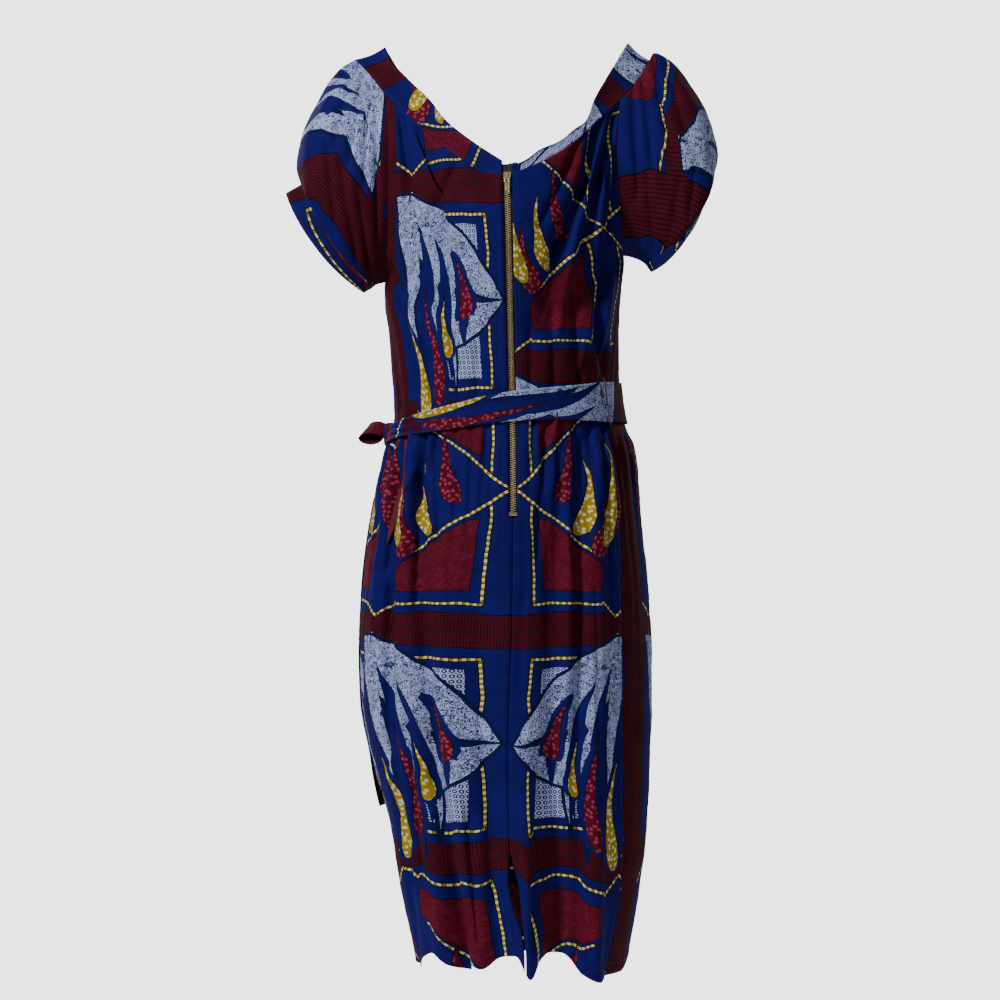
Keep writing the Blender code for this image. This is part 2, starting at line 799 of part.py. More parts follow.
def neckband(side):
    """A stretch of the neckband: a front for side -1 or 1, or the back for 0."""
    lines = []
    for rows in (BAND_SEAM, NECK_EDGE):
        whole = line_through(points_of(rows))
        if side:
            ends = (0.0 if side < 0 else 1.0, shoulder(rows, side))
        else:
            ends = (shoulder(rows, 1), shoulder(rows, -1))
        lines.append(part_of(whole, *ends))
    return band(lines[0], lines[1], -(side or 1) * BAND_CROWN)


def make_neckband(printed):
    end = 3 * SEAM / BAND_LONG
    for side, name, columns in ((-1, "left", 18), (1, "right", 18), (0, "back", 26)):
        start = 0.0 if side else end / 2
        surface = trimmed(set_in(neckband(side), ROUND_SEAM / 2, 0.0), start, end)
        cloth(f"neckband_{name}", surface, columns, 2, printed)


# Sleeves.

SLEEVE_COLUMNS = 40


def armhole_loop(side):
    """The edge that a sleeve is sewn to: up the back from the underarm, over the shoulder
    under the neckband, and down the front."""
    seam = line_through(points_of(BAND_SEAM))
    back = seam_of_band(side, ARMHOLE_BACK)
    front = seam_of_band(side, ARMHOLE_FRONT)
    top = shoulder(BAND_SEAM, side)
    return one_after_another(
        (line_through(points_of(ARMHOLE_BACK[side])), ARMHOLE_ROWS / SLEEVE_COLUMNS),
        (part_of(seam, back, top), 0.50),
        (part_of(seam, top, front), 1 - ARMHOLE_ROWS / SLEEVE_COLUMNS),
        (part_of(line_through(points_of(ARMHOLE_FRONT[side])), 1.0, 0.0), 1.0),
    )


def oval(turn, over, under, deep, hang):
    """A ring between two points in the front view, (x, z), deep to the front and back. Turn 0 is
    its point under the arm, and the back comes next."""
    middle = (over + under) / 2
    half = (under - over) / 2
    long_way = half / np.linalg.norm(half, axis=-1)[..., None]
    out = np.stack([-long_way[..., 1], long_way[..., 0]], axis=-1)
    out = out * np.where(out[..., 1] > 0, -1, 1)[..., None]
    flat = middle + half * np.cos(turn)[..., None] + out * (hang * np.sin(turn) ** 2)[..., None]
    return np.stack([flat[..., 0], deep * np.sin(turn), flat[..., 1]], axis=-1)


def sleeve_ring(side, turn, along):
    rows = SLEEVE_RINGS[side]
    at = {c: smooth(along, rows["along"], rows[c]) for c in rows}
    over = np.stack([at["over_x"], at["over_z"]], axis=-1)
    under = np.stack([at["under_x"], at["under_z"]], axis=-1)
    return oval(turn, over, under, at["deep"], at["hang"])


def sleeve(side):
    """A sleeve's surface: round it from the underarm, and along it from armhole to cuff."""
    armhole = armhole_loop(side)

    def surface(across, along):
        across = across % 1.0
        turn = 2 * math.pi * across
        ring = sleeve_ring(side, turn, along)
        first = sleeve_ring(side, turn, np.zeros_like(along))
        round_at = OVAL_TOP + (OVAL_UNDER - OVAL_TOP) * (0.5 + 0.5 * np.cos(turn))
        miss = (armhole(across) - first) * (1 - ramp(along, 0, round_at))[:, None]
        away = ring - sleeve_middle(side, along)
        away /= np.linalg.norm(away, axis=1)[:, None]
        top = np.exp(-(((across - 0.5) / 0.2) ** 2))
        gathers = np.exp(-((along / 0.5) ** 2)) * top * np.cos(CAP_GATHERS * 2 * turn)
        over = 0.5 - 0.5 * np.cos(turn)
        gathers += over * np.exp(-(((1 - along) / 0.35) ** 2)) * np.cos(CUFF_GATHERS * turn)
        settle = np.clip(along / 0.1, 0, 1) * ramp(1 - along, 0, 0.18)
        return ring + miss + away * (GATHER_DEPTH * gathers * settle)[:, None]

    return surface


def sleeve_middle(side, along):
    under = sleeve_ring(side, np.zeros_like(along), along)
    over = sleeve_ring(side, np.full_like(along, math.pi), along)
    return (under + over) / 2


def cuff(side):
    """The narrow band that ends a sleeve."""
    edge = CUFF_EDGE[side]

    def surface(across, along):
        turn = 2 * math.pi * (across % 1.0)
        inner = sleeve_ring(side, turn, np.ones_like(turn))
        outer = oval(
            turn,
            np.array(edge["over"]),
            np.array(edge["under"]),
            edge["deep"],
            edge["hang"],
        )
        return inner * (1 - along)[:, None] + outer * along[:, None]

    return surface


def make_sleeves(printed):
    for side, name in ((-1, "left"), (1, "right")):
        surface = set_in(sleeve(side), ARMHOLE_SEAM, ROUND_SEAM)
        cloth(f"sleeve_{name}", surface, SLEEVE_COLUMNS, 8, printed, closed=True)
        surface = set_in(cuff(side), SEAM, 0.0)
        cloth(f"cuff_{name}", surface, SLEEVE_COLUMNS, 1, printed, closed=True)


# Skirt.

SKIRT_LEVELS = (
    WAIST_Z - SEAM,
    -0.488,
    -0.503,
    -0.522,
    -0.560,
    ZIP_END_Z,
    ZIP_END_Z - ZIP_END_STEP,
    -0.660,
    -0.725,
    -0.790,
    -0.860,
    -0.930,
    -0.995,
    -1.055,
    -1.110,
    -1.160,
)
SKIRT_ROWS = len(SKIRT_LEVELS) - 1


def skirt_panel(inner_angle, outer_angle, hem, gape):
    """The surface of a skirt panel, from its waist to its hem, between two edges. The gape is
    the side on which a front panel stands off at its pocket, or 0."""

    def surface(across, along):
        level = np.interp(along * SKIRT_ROWS, range(SKIRT_ROWS + 1), SKIRT_LEVELS)
        near_top = np.clip(1 - along * SKIRT_ROWS / 4, 0, 1)
        near_hem = np.clip((level + 0.70) / (SKIRT_LEVELS[-1] + 0.70), 0, 2) ** 2
        z = level
        for _ in range(4):
            angle = inner_angle(z) + (outer_angle(z) - inner_angle(z)) * across
            foot = read(hem, "angle", "z", angle)
            z = level + (waist_z(angle) - WAIST_Z) * near_top
            z = z + (foot - SKIRT_LEVELS[-1]) * near_hem
        points = skirt_cloth(angle, z)
        if gape:
            points = points + outwards(angle, z) * pocket_gape(gape, angle, z)[:, None]
        return points

    return surface


def pocket_gape(side, angle, z):
    """How far a front panel's cloth stands off at its pocket's mouth."""
    from_seam = np.radians(np.abs(side_seam_angle(side, z) - angle)) * BODY_RADIUS
    near = np.exp(-((from_seam / MOUTH_REACH) ** 2))
    end = ramp(MOUTH_TOP_Z - z, 0, MOUTH_SETTLE) * ramp(z - MOUTH_FOOT_Z, 0, MOUTH_SETTLE)
    return MOUTH_GAPE * near * end


def seam_edge(side, away):
    """The angle of a side seam, moved away from it by a seam's gap."""

    def edge(z):
        return side_seam_angle(side, z) + away * math.degrees(SEAM / BODY_RADIUS)

    return edge


def front_panel(side):
    return skirt_panel(
        lambda z: front_edge_angle(side, z), seam_edge(side, -side), HEM_FRONT, side
    )


def make_skirt(printed):
    for side, name in ((-1, "left"), (1, "right")):
        cloth(f"skirt_front_{name}", front_panel(side), 28, SKIRT_ROWS, printed)
    left_edge = seam_edge(-1, -1)
    surface = skirt_panel(seam_edge(1, 1), lambda z: left_edge(z) + 360, HEM_BACK, 0)
    cloth("skirt_back", surface, 38, SKIRT_ROWS, printed)


# Pockets.


def make_pockets(lining):
    """A pocket's back layer at each side, which runs forward from the back panel."""
    for side, name in ((-1, "left"), (1, "right")):

        def plain(across, along, side=side):
            z = POCKET_TOP_Z + (POCKET_FOOT_Z - POCKET_TOP_Z) * along
            reach = 0.5 + 0.5 * np.sin(math.pi * np.clip(along * 0.75 + 0.15, 0, 1))
            angle = side_seam_angle(side, z) + side * (2 - POCKET_SPAN * across * reach)
            return skirt_cloth(angle, z)

        def surface(across, along, side=side, plain=plain):
            inwards = side * normals_of(plain, across, along)
            inside = POCKET_AT_BACK + (POCKET_INSIDE - POCKET_AT_BACK) * across
            return plain(across, along) - inwards * inside[:, None]

        cloth(f"pocket_{name}", surface, 7, 7, lining)


# Sash.


def sash(angle, up, out):
    """A point of the sash: round the waist, up its width from -0.5 to 0.5, and out."""
    z = sash_level(angle, up)
    return body(angle, z) + outwards(angle, z) * np.asarray(out, float)[..., None]


def degrees_round_waist(length, angle):
    """The angle that a length round the waist spans, near an angle."""
    ends = sash(np.array([angle - 1.0, angle + 1.0]), 0.0, np.zeros(2))
    return 2 * length / np.linalg.norm(ends[1] - ends[0])


def make_sash(printed, thread):
    clear = degrees_round_waist(KNOT_SIZE[0] / 2 + SEAM, KNOT_ANGLE)

    def around(across, along):
        angle = KNOT_ANGLE + clear + (360 - 2 * clear) * across
        return sash(angle, along - 0.5, np.full_like(angle, SASH_OUT))

    cloth("sash_band", around, 52, 3, printed)
    knot = knot_place()
    make_knot(printed, knot)
    make_loop(printed, knot)
    make_tails(printed)
    make_carrier(thread)


def knot_place():
    """The middle of the knot and its directions: round the waist, outwards, up."""
    angle = np.array(KNOT_ANGLE)
    z = sash_level(angle)
    out = outwards(angle, z)
    middle = body(angle, z - KNOT_SIZE[2] / 2) + out * (SASH_OUT + KNOT_SIZE[1] / 2)
    middle[2] = z
    return middle, np.array([out[1], -out[0], 0.0]), out, np.array([0, 0, 1.0])


def make_knot(printed, knot):
    """The knot: a rounded lump of wrapped cloth."""
    middle, around, out, up = knot
    bm = bmesh.new()
    bmesh.ops.create_cube(bm, size=1.0)
    bmesh.ops.bevel(bm, geom=bm.edges[:], offset=0.28, segments=3, profile=0.6, affect="EDGES")
    for vert in bm.verts:
        x, y, z = vert.co
        place = middle + around * x * KNOT_SIZE[0] + out * y * KNOT_SIZE[1] + up * z * KNOT_SIZE[2]
        vert.co = Vector(place)
    bmesh.ops.recalc_face_normals(bm, faces=bm.faces)
    add_object("sash_knot", bm, printed).data.shade_smooth()


def make_loop(printed, knot):
    """The loop of the half bow: a band that runs out from the knot and back."""
    middle, around, out, up = knot
    tilt = math.radians(LOOP_TILT)
    wide = around * math.cos(tilt) + up * math.sin(tilt)
    high = np.cross(out, wide)
    centre = middle + out * (KNOT_SIZE[1] / 2 + CLOTH / 2 + LOOP_HALF[0]) + up * LOOP_RISE

    def surface(across, along):
        a = math.pi * (0.05 + 1.90 * across)
        ahead = -LOOP_HALF[0] * np.cos(a)
        rise = LOOP_HALF[1] * np.sin(a)
        wide_now = LOOP_WIDTH * (0.72 + 0.28 * np.sin(a / 2))
        return (
            centre
            + out * ahead[:, None]
            + high * rise[:, None]
            + wide * ((along - 0.5) * wide_now)[:, None]
        )

    cloth("sash_loop", surface, 24, 2, printed)


def make_tails(printed):
    """The sash's two hanging ends, which lie on the skirt."""
    top = float(sash_level(KNOT_ANGLE)) - KNOT_SIZE[2] / 2 - SEAM
    for name, tail in TAILS.items():

        def surface(across, along, tail=tail):
            z = top - tail["length"] * along
            spread = 0.42 + 0.58 * ramp(top - z, 0, 0.14)
            angle = tail["top"] + (tail["end"] - tail["top"]) * ramp(top - z, 0, 0.10)
            angle = angle + np.degrees((across - 0.5) * TAIL_WIDTH * spread / BODY_RADIUS)
            out = TAIL_OUT + TAIL_UNDER_KNOT * ramp(z - top, -0.06, 0)
            out = out + tail["stand"] * ramp(along, 0.8, 1.0)
            return skirt_cloth(angle, z) + outwards(angle, z) * out[:, None]

        cloth(f"sash_tail_{name}", surface, 4, 14, printed)


def make_carrier(thread):
    """The thread carrier over the sash at the right side seam."""
    route = []
    for up, out in ((0.60, 0.0023), (0.58, 0.0046), (0.5, 0.0060), (0.25, 0.0060), (0.0, 0.0060)):
        route.append((up, out))
    route += [(-up, out) for up, out in reversed(route[:-1])]
    line = bpy.data.curves.new("carrier", "CURVE")
    line.dimensions = "3D"
    line.bevel_depth = CARRIER_THREAD
    line.bevel_resolution = 2
    line.use_fill_caps = True
    spline = line.splines.new("POLY")
    spline.points.add(len(route) - 1)
    for point, (up, out) in zip(spline.points, route):
        place = sash(np.array(CARRIER_ANGLE), up, np.array(out))
        point.co = (*place, 1.0)
    line.materials.append(thread)
    DRESS.objects.link(bpy.data.objects.new("belt_carrier", line))


# Zip.


def front_sheet(side, distance, z):
    """The front's cloth at a level, at a distance from the zip opening's edge."""
    z = np.asarray(z, float)
    distance = np.broadcast_to(np.asarray(distance, float), z.shape)
    above = z > WAIST_Z
    out = np.zeros(z.shape + (3,))
    if above.any():
        along = (z[above] - WAIST_Z) / (NECK_Z - WAIST_Z)
        out[above] = bodice_front(side)(distance[above] / PANEL_WIDE, along)
    if (~above).any():
        low = z[~above]
        angle = front_edge_angle(side, low) + side * np.degrees(distance[~above] / BODY_RADIUS)
        out[~above] = skirt_cloth(angle, low)
    return out


def zip_line(z):
    """The middle of the zip at a level."""
    return (front_sheet(-1, 0.0, z) + front_sheet(1, 0.0, z)) / 2


def make_zip(tape, brass):
    for side, name in ((-1, "left"), (1, "right")):

        def surface(across, along, side=side):
            z = NECK_Z - SEAM + (ZIP_END_Z - NECK_Z) * along
            inner = zip_line(z) + np.array([side * SEAM / 2, 0, 0])
            edge = front_sheet(side, TAPE_WIDTH - OPENING_HALF, z)
            share = across[:, None]
            return inner * (1 - share) + edge * share + np.array([0, TAPE_BEHIND, 0])

        cloth(f"zip_tape_{name}", surface, 1, 16, tape, thick=TAPE_THICK)

    chain_top = SLIDER_Z - SLIDER_SIZE[2] / 2 - SEAM
    chain_foot = ZIP_END_Z + STOP_SIZE[2] + SEAM

    def chain(across, along):
        z = chain_top + (chain_foot - chain_top) * along
        return zip_line(z) + np.array([1.0, 0, 0]) * ((across - 0.5) * CHAIN_WIDTH)[:, None]

    cloth("zip_chain", chain, 1, 16, brass, thick=CHAIN_THICK)
    stop_z = ZIP_END_Z + STOP_SIZE[2] / 2
    block("zip_stop", STOP_SIZE, zip_line(np.array([stop_z]))[0], lean(stop_z), brass, 0.0006)
    make_slider(brass)


def lean(z):
    """The turn about X that stands a piece along the zip at a level."""
    low, high = zip_line(np.array([z - 0.01, z + 0.01]))
    return -math.atan2(high[1] - low[1], high[2] - low[2])


def block(name, size, place, tilt, finish, bevel):
    """A metal block with rounded edges; tilt turns it about X."""
    bm = bmesh.new()
    bmesh.ops.create_cube(bm, size=1.0)
    bmesh.ops.scale(bm, vec=size, verts=bm.verts)
    made = add_object(name, bm, finish)
    made.location = Vector(place)
    made.rotation_euler = (tilt, 0, 0)
    rounding = made.modifiers.new("rounding", "BEVEL")
    rounding.width = bevel
    rounding.segments = 2
    return made


def make_slider(brass):
    """The slider at the top of the chain, with its bridge, and the pull that hangs from it."""
    tilt = lean(SLIDER_Z)
    place = zip_line(np.array([SLIDER_Z]))[0] - np.array([0, SLIDER_AHEAD, 0])
    slider = block("zip_slider", SLIDER_SIZE, place, tilt, brass, 0.0009)
    join = slider.modifiers.new("bridge", "BOOLEAN")
    join.operation = "UNION"
    join.object = make_bridge(slider)
    make_pull(brass, Vector(place), tilt)


def make_bridge(slider):
    """The arch on the slider's face, as a mesh that the slider is joined to."""
    face = -SLIDER_SIZE[1] / 2
    side = (
        (face + 0.0012, BRIDGE_HALF),
        (face - BRIDGE_OUT * 0.75, BRIDGE_HALF),
        (face - BRIDGE_OUT, BRIDGE_HALF * 0.6),
    )
    route = [(0, y, z, 1) for y, z in side] + [(0, y, -z, 1) for y, z in reversed(side)]
    arch = bpy.data.curves.new("bridge", "CURVE")
    arch.dimensions = "3D"
    arch.bevel_depth = BRIDGE_WIRE
    arch.bevel_resolution = 1
    arch.use_fill_caps = True
    line = arch.splines.new("POLY")
    line.points.add(len(route) - 1)
    for point, place in zip(line.points, route):
        point.co = place
    curve = bpy.data.objects.new("bridge", arch)
    CUTTERS.objects.link(curve)
    curve.location = slider.location
    curve.rotation_euler = slider.rotation_euler
    bpy.context.view_layer.update()
    solid = bpy.data.meshes.new_from_object(
        curve.evaluated_get(bpy.context.evaluated_depsgraph_get())
    )
    bm = bmesh.new()
    bm.from_mesh(solid)
    bmesh.ops.remove_doubles(bm, verts=bm.verts, dist=1e-5)
    bm.to_mesh(solid)
    bm.free()
    bridge = guide("slider_bridge", solid)
    bridge.matrix_world = curve.matrix_world
    bpy.data.objects.remove(curve)
    return bridge


def guide(name, mesh):
    """An object that only cuts or joins another."""
    made = bpy.data.objects.new(name, mesh)
    CUTTERS.objects.link(made)
    made.hide_render = True
    made.display_type = "WIRE"
    return made


def plate(size, top):
    """A flat block that hangs from a level just above the pull's axis."""
    bm = bmesh.new()
    bmesh.ops.create_cube(bm, size=1.0)
    bmesh.ops.scale(bm, vec=size, verts=bm.verts)
    bmesh.ops.translate(bm, vec=(0, 0, top - size[2] / 2), verts=bm.verts)
    return bm


def make_pull(brass, place, tilt):
    """The pull: a plate with a slot at its top, whose cross bar lies under the bridge."""
    bar = PULL_SIZE[1] / 2
    axis_out = SLIDER_SIZE[1] / 2 + PULL_GAP + bar
    pull = add_object("zip_pull", plate(PULL_SIZE, bar), brass)
    pull.location = place - Vector((0, math.cos(tilt), math.sin(tilt))) * axis_out
    pull.rotation_euler = (tilt, 0, 0)
    mesh = bpy.data.meshes.new("pull_slot")
    slot = plate((PULL_SLOT[0], 0.01, PULL_SLOT[1]), -bar)
    slot.to_mesh(mesh)
    slot.free()
    cutter = guide("pull_slot", mesh)
    cutter.location = pull.location
    cutter.rotation_euler = pull.rotation_euler
    cut = pull.modifiers.new("slot", "BOOLEAN")
    cut.operation = "DIFFERENCE"
    cut.object = cutter


for old in list(bpy.data.objects):
    bpy.data.objects.remove(old)
DRESS = bpy.data.collections.new("wax_print_dress")
CUTTERS = bpy.data.collections.new("cutters")
bpy.context.scene.collection.children.link(DRESS)
bpy.context.scene.collection.children.link(CUTTERS)

print_blue = material("wax_print_blue", BLUE, 0.0, 0.75)
print_crimson = material("wax_print_crimson", CRIMSON, 0.0, 0.75)
pocket_cloth = material("pocket_cloth", CRIMSON, 0.0, 0.85)
thread = material("carrier_thread", CRIMSON, 0.0, 0.8)
tape_cloth = material("zip_tape", NAVY, 0.0, 0.8)
zip_brass = material("zip_brass", BRASS, 1.0, 0.35)

make_bodice(print_blue)
make_neckband(print_crimson)
make_sleeves(print_blue)
make_skirt(print_blue)
make_pockets(pocket_cloth)
make_sash(print_blue, thread)
make_zip(tape_cloth, zip_brass)
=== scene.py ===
"""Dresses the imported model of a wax-print midi dress: printed cotton with its gathers, creases and
stitching, a brass zip, and a plain studio round it. Metres, +Z up, -Y is the front of the dress."""

import math
from functools import partial

import bmesh
import bpy
import numpy as np
from mathutils import Matrix, Vector


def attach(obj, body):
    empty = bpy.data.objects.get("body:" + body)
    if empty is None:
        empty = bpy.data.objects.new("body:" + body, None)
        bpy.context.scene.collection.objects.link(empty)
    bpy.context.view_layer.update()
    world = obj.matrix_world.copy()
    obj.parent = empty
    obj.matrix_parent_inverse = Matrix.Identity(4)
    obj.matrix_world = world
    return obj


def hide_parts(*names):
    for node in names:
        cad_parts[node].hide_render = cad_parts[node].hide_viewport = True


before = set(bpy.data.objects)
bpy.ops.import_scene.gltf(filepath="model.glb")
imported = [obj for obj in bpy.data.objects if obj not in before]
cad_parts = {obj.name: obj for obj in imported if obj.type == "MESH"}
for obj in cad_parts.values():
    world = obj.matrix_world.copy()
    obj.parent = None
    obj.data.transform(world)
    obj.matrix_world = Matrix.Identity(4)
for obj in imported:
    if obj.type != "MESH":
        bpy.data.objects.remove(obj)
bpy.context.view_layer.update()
bpy.ops.object.select_all(action="DESELECT")

# ---- The dress's shape: its named sizes, tables and surfaces ----

# Cloth and seams.
CLOTH = 0.0016  # thickness of a cloth wall
SEAM = 0.0004  # between two walls that are sewn edge to edge

# Zip.
SLIDER_Z = -0.1825
ZIP_END_Z = -0.6022
ZIP_END_STEP = 0.0028  # below the zip, where the opening closes into a seam
OPENING_HALF = 0.0052  # from the zip's middle to the cloth's edge
TAPE_WIDTH = 0.0130
TAPE_BEHIND = 0.0021  # from the cloth's middle back to the tape's middle
SLIDER_SIZE = (0.0096, 0.0038, 0.0125)
SLIDER_AHEAD = 0.0008
BRIDGE_WIRE = 0.0007  # radius
BRIDGE_OUT = 0.0030  # how far the bridge stands from the slider's face
BRIDGE_HALF = 0.0036  # half its length
PULL_SIZE = (0.0064, 0.0012, 0.0230)
PULL_SLOT = (0.0030, 0.0062)
PULL_GAP = 0.0004  # between the pull's cross bar and the slider's face
STOP_SIZE = (0.0096, 0.0028, 0.0044)

# Body.
BODY_RADIUS = 0.15  # roughly, to turn lengths along the cloth into degrees
WAIST_Z = -0.473
WAIST_TILT = 0.13  # the waist seam rises towards +X by this share
NECK_Z = -0.1787  # where the bodice's front edges meet the neckband
BACK_FULLNESS = 0.002
BUST_FULLNESS = 0.010

# Sash.
KNOT_ANGLE = -113.0


def table(columns, *rows):
    """A table with named columns, one row for each section, as arrays."""
    return dict(zip(columns.split(), np.array(rows, float).T))


def rows_of(columns):
    """A table's rows, each with its values by name."""
    return [dict(zip(columns, row)) for row in zip(*columns.values())]


# The body of the dress, level by level: its sides, and how far it reaches to the front and back.
BODY = table(
    "z left right front back",
    (-1.250, -0.106, 0.148, 0.096, 0.098),
    (-1.160, -0.117, 0.157, 0.100, 0.102),
    (-1.080, -0.134, 0.170, 0.104, 0.106),
    (-1.000, -0.147, 0.180, 0.110, 0.112),
    (-0.920, -0.168, 0.184, 0.118, 0.118),
    (-0.840, -0.184, 0.186, 0.124, 0.124),
    (-0.780, -0.186, 0.186, 0.126, 0.126),
    (-0.700, -0.183, 0.182, 0.124, 0.126),
    (-0.600, -0.171, 0.171, 0.118, 0.122),
    (-0.530, -0.156, 0.165, 0.107, 0.110),
    (-0.470, -0.142, 0.148, 0.098, 0.093),
    (-0.420, -0.145, 0.143, 0.102, 0.093),
    (-0.375, -0.148, 0.143, 0.107, 0.095),
    (-0.330, -0.154, 0.145, 0.113, 0.098),
    (-0.250, -0.153, 0.150, 0.122, 0.102),
    (-0.160, -0.153, 0.150, 0.112, 0.098),
)

# The middle of the front, level by level, and how far the slit's edges stand from it.
FRONT_LINE = table(
    "z x slit",
    (-1.200, 0.0240, 0.0008), (-1.150, 0.0235, 0.0008), (-1.122, 0.0205, 0.0014),
    (-1.090, 0.0135, 0.0050), (-1.062, 0.0090, 0.0066), (-1.036, 0.0060, 0.0030),
    (-1.010, 0.0036, 0.0), (-0.900, 0.0022, 0.0), (-0.800, 0.0050, 0.0), (-0.700, 0.0075, 0.0),
    (-0.600, 0.0087, 0.0), (-0.170, 0.0010, 0.0),
)

# Where the side seams run, in degrees round the body from the front.
SIDE_SEAMS = table(
    "z left right",
    (-1.200, -78, 48), (-1.080, -80, 55), (-0.920, -79, 51), (-0.760, -75, 51), (-0.600, -66, 55),
    (-0.520, -64, 52), (-0.450, -66, 64), (-0.360, -72, 74), (-0.290, -86, 86),
)

# The hem of each skirt panel, in degrees round the body.
HEM_FRONT = table(
    "angle z",
    (-90, -1.166), (-79, -1.177), (-65, -1.160), (-52, -1.152), (-44, -1.166), (-34, -1.173),
    (-27, -1.162), (-21, -1.166), (-12, -1.153), (-3, -1.150), (4, -1.178), (10, -1.156),
    (24, -1.150), (34, -1.176), (45, -1.187), (53, -1.178), (70, -1.178),
)
HEM_BACK = table(
    "angle z",
    (44, -1.180), (67, -1.179), (90, -1.158), (120, -1.168), (180, -1.174), (240, -1.168),
    (285, -1.172),
)

# Folds of the skirt: side 1 is the front and -1 the back. Each runs down through three places
# across the dress, and is so deep there; less than nothing is a hollow.
FOLDS = table(
    "side x_top x_middle x_hem deep_top deep_middle deep_hem half",
    (1, -0.136, -0.150, -0.112, -0.005, -0.009, -0.004, 0.009),
    (1, -0.114, -0.104, -0.057, -0.010, -0.016, -0.028, 0.011),
    (1, -0.092, -0.078, -0.034, 0.001, 0.006, 0.012, 0.013),
    (1, -0.080, -0.076, -0.085, -0.006, 0.003, 0.005, 0.009),
    (1, -0.030, -0.034, -0.008, 0.0, -0.003, -0.010, 0.011),
    (1, 0.040, 0.020, 0.030, 0.0, 0.001, 0.012, 0.008),
    (1, 0.069, 0.062, 0.060, -0.009, -0.010, -0.034, 0.013),
    (1, 0.083, 0.078, 0.074, 0.002, 0.007, -0.010, 0.009),
    (1, 0.098, 0.091, 0.084, -0.010, -0.012, -0.004, 0.009),
    (1, 0.114, 0.112, 0.112, 0.002, 0.006, 0.008, 0.012),
    (-1, 0.112, 0.125, 0.118, -0.006, -0.010, -0.016, 0.012),
    (-1, 0.070, 0.078, 0.080, -0.007, -0.014, -0.020, 0.013),
    (-1, 0.030, 0.034, 0.036, -0.005, -0.009, -0.014, 0.012),
    (-1, -0.016, -0.014, 0.0, -0.006, -0.012, -0.020, 0.014),
    (-1, -0.062, -0.070, -0.045, -0.006, -0.010, -0.016, 0.012),
    (-1, -0.104, -0.124, -0.084, -0.007, -0.012, -0.014, 0.012),
)
FOLD_LEVELS = (-0.500, -0.760, -1.160)  # top, middle and hem, for the columns above
FOLD_CLEAR = 0.002  # below the sash, where the folds start
FOLD_START = 0.040  # from there to where they have reached their depth

# Gathers of the bodice: hollows that run from one place to another, as shares of a front
# panel's width from the middle and of its height from the waist.
BODICE_FOLDS = table(
    "side across_low along_low across_high along_high deep half",
    (1, 0.26, 0.20, 0.82, 0.97, -0.006, 0.045),
    (1, 0.52, 0.05, 0.86, 0.80, -0.005, 0.040),
    (1, 0.74, 0.02, 0.90, 0.62, -0.004, 0.040),
    (-1, 0.66, 0.02, 0.74, 0.38, -0.004, 0.040),
    (-1, 0.36, 0.62, 0.70, 0.96, -0.005, 0.050),
    (-1, 0.84, 0.40, 0.88, 0.95, -0.004, 0.040),
)

# The neckband's two edges, from the zip's left side over the left shoulder, round the back, over
# the right shoulder and down to the zip's right side. The shoulder tops are at y = 0.
NECK_EDGE = table(
    "x y z",
    (-0.0052, -0.1140, -0.1620), (-0.0438, -0.1000, -0.1348), (-0.0752, -0.0840, -0.1077),
    (-0.0956, -0.0660, -0.0801), (-0.1228, -0.0420, -0.0512), (-0.1464, -0.0200, -0.0224),
    (-0.1545, 0.0000, -0.0030), (-0.1340, 0.0390, -0.0340), (-0.0960, 0.0740, -0.0860),
    (-0.0480, 0.0930, -0.1360), (0.0000, 0.0990, -0.1560), (0.0480, 0.0930, -0.1360),
    (0.1050, 0.0740, -0.0900), (0.1350, 0.0390, -0.0340), (0.1561, 0.0000, 0.0025),
    (0.1254, -0.0420, -0.0512), (0.1104, -0.0660, -0.0801), (0.1000, -0.0790, -0.1071),
    (0.0833, -0.0890, -0.1210), (0.0682, -0.0950, -0.1342), (0.0407, -0.1055, -0.1479),
    (0.0233, -0.1105, -0.1609), (0.0072, -0.1140, -0.1680),
)
BAND_SEAM = table(
    "x y z",
    (-0.0052, -0.1150, NECK_Z), (-0.0263, -0.1130, -0.1779), (-0.0449, -0.1090, -0.1669),
    (-0.0824, -0.0950, -0.1378), (-0.1128, -0.0780, -0.1093), (-0.1528, -0.0500, -0.0701),
    (-0.1728, -0.0280, -0.0427), (-0.1933, 0.0000, -0.0192), (-0.1760, 0.0300, -0.0440),
    (-0.1528, 0.0540, -0.0730), (-0.1080, 0.0820, -0.1180), (-0.0520, 0.0980, -0.1640),
    (0.0000, 0.1030, -0.1840), (0.0520, 0.0980, -0.1640), (0.1050, 0.0820, -0.1180),
    (0.1436, 0.0550, -0.0800), (0.1660, 0.0300, -0.0540), (0.1843, 0.0000, -0.0205),
    (0.1649, -0.0300, -0.0545), (0.1436, -0.0520, -0.0781), (0.1177, -0.0730, -0.1040),
    (0.0857, -0.0950, -0.1353), (0.0481, -0.1090, -0.1607), (0.0072, -0.1150, NECK_Z),
)

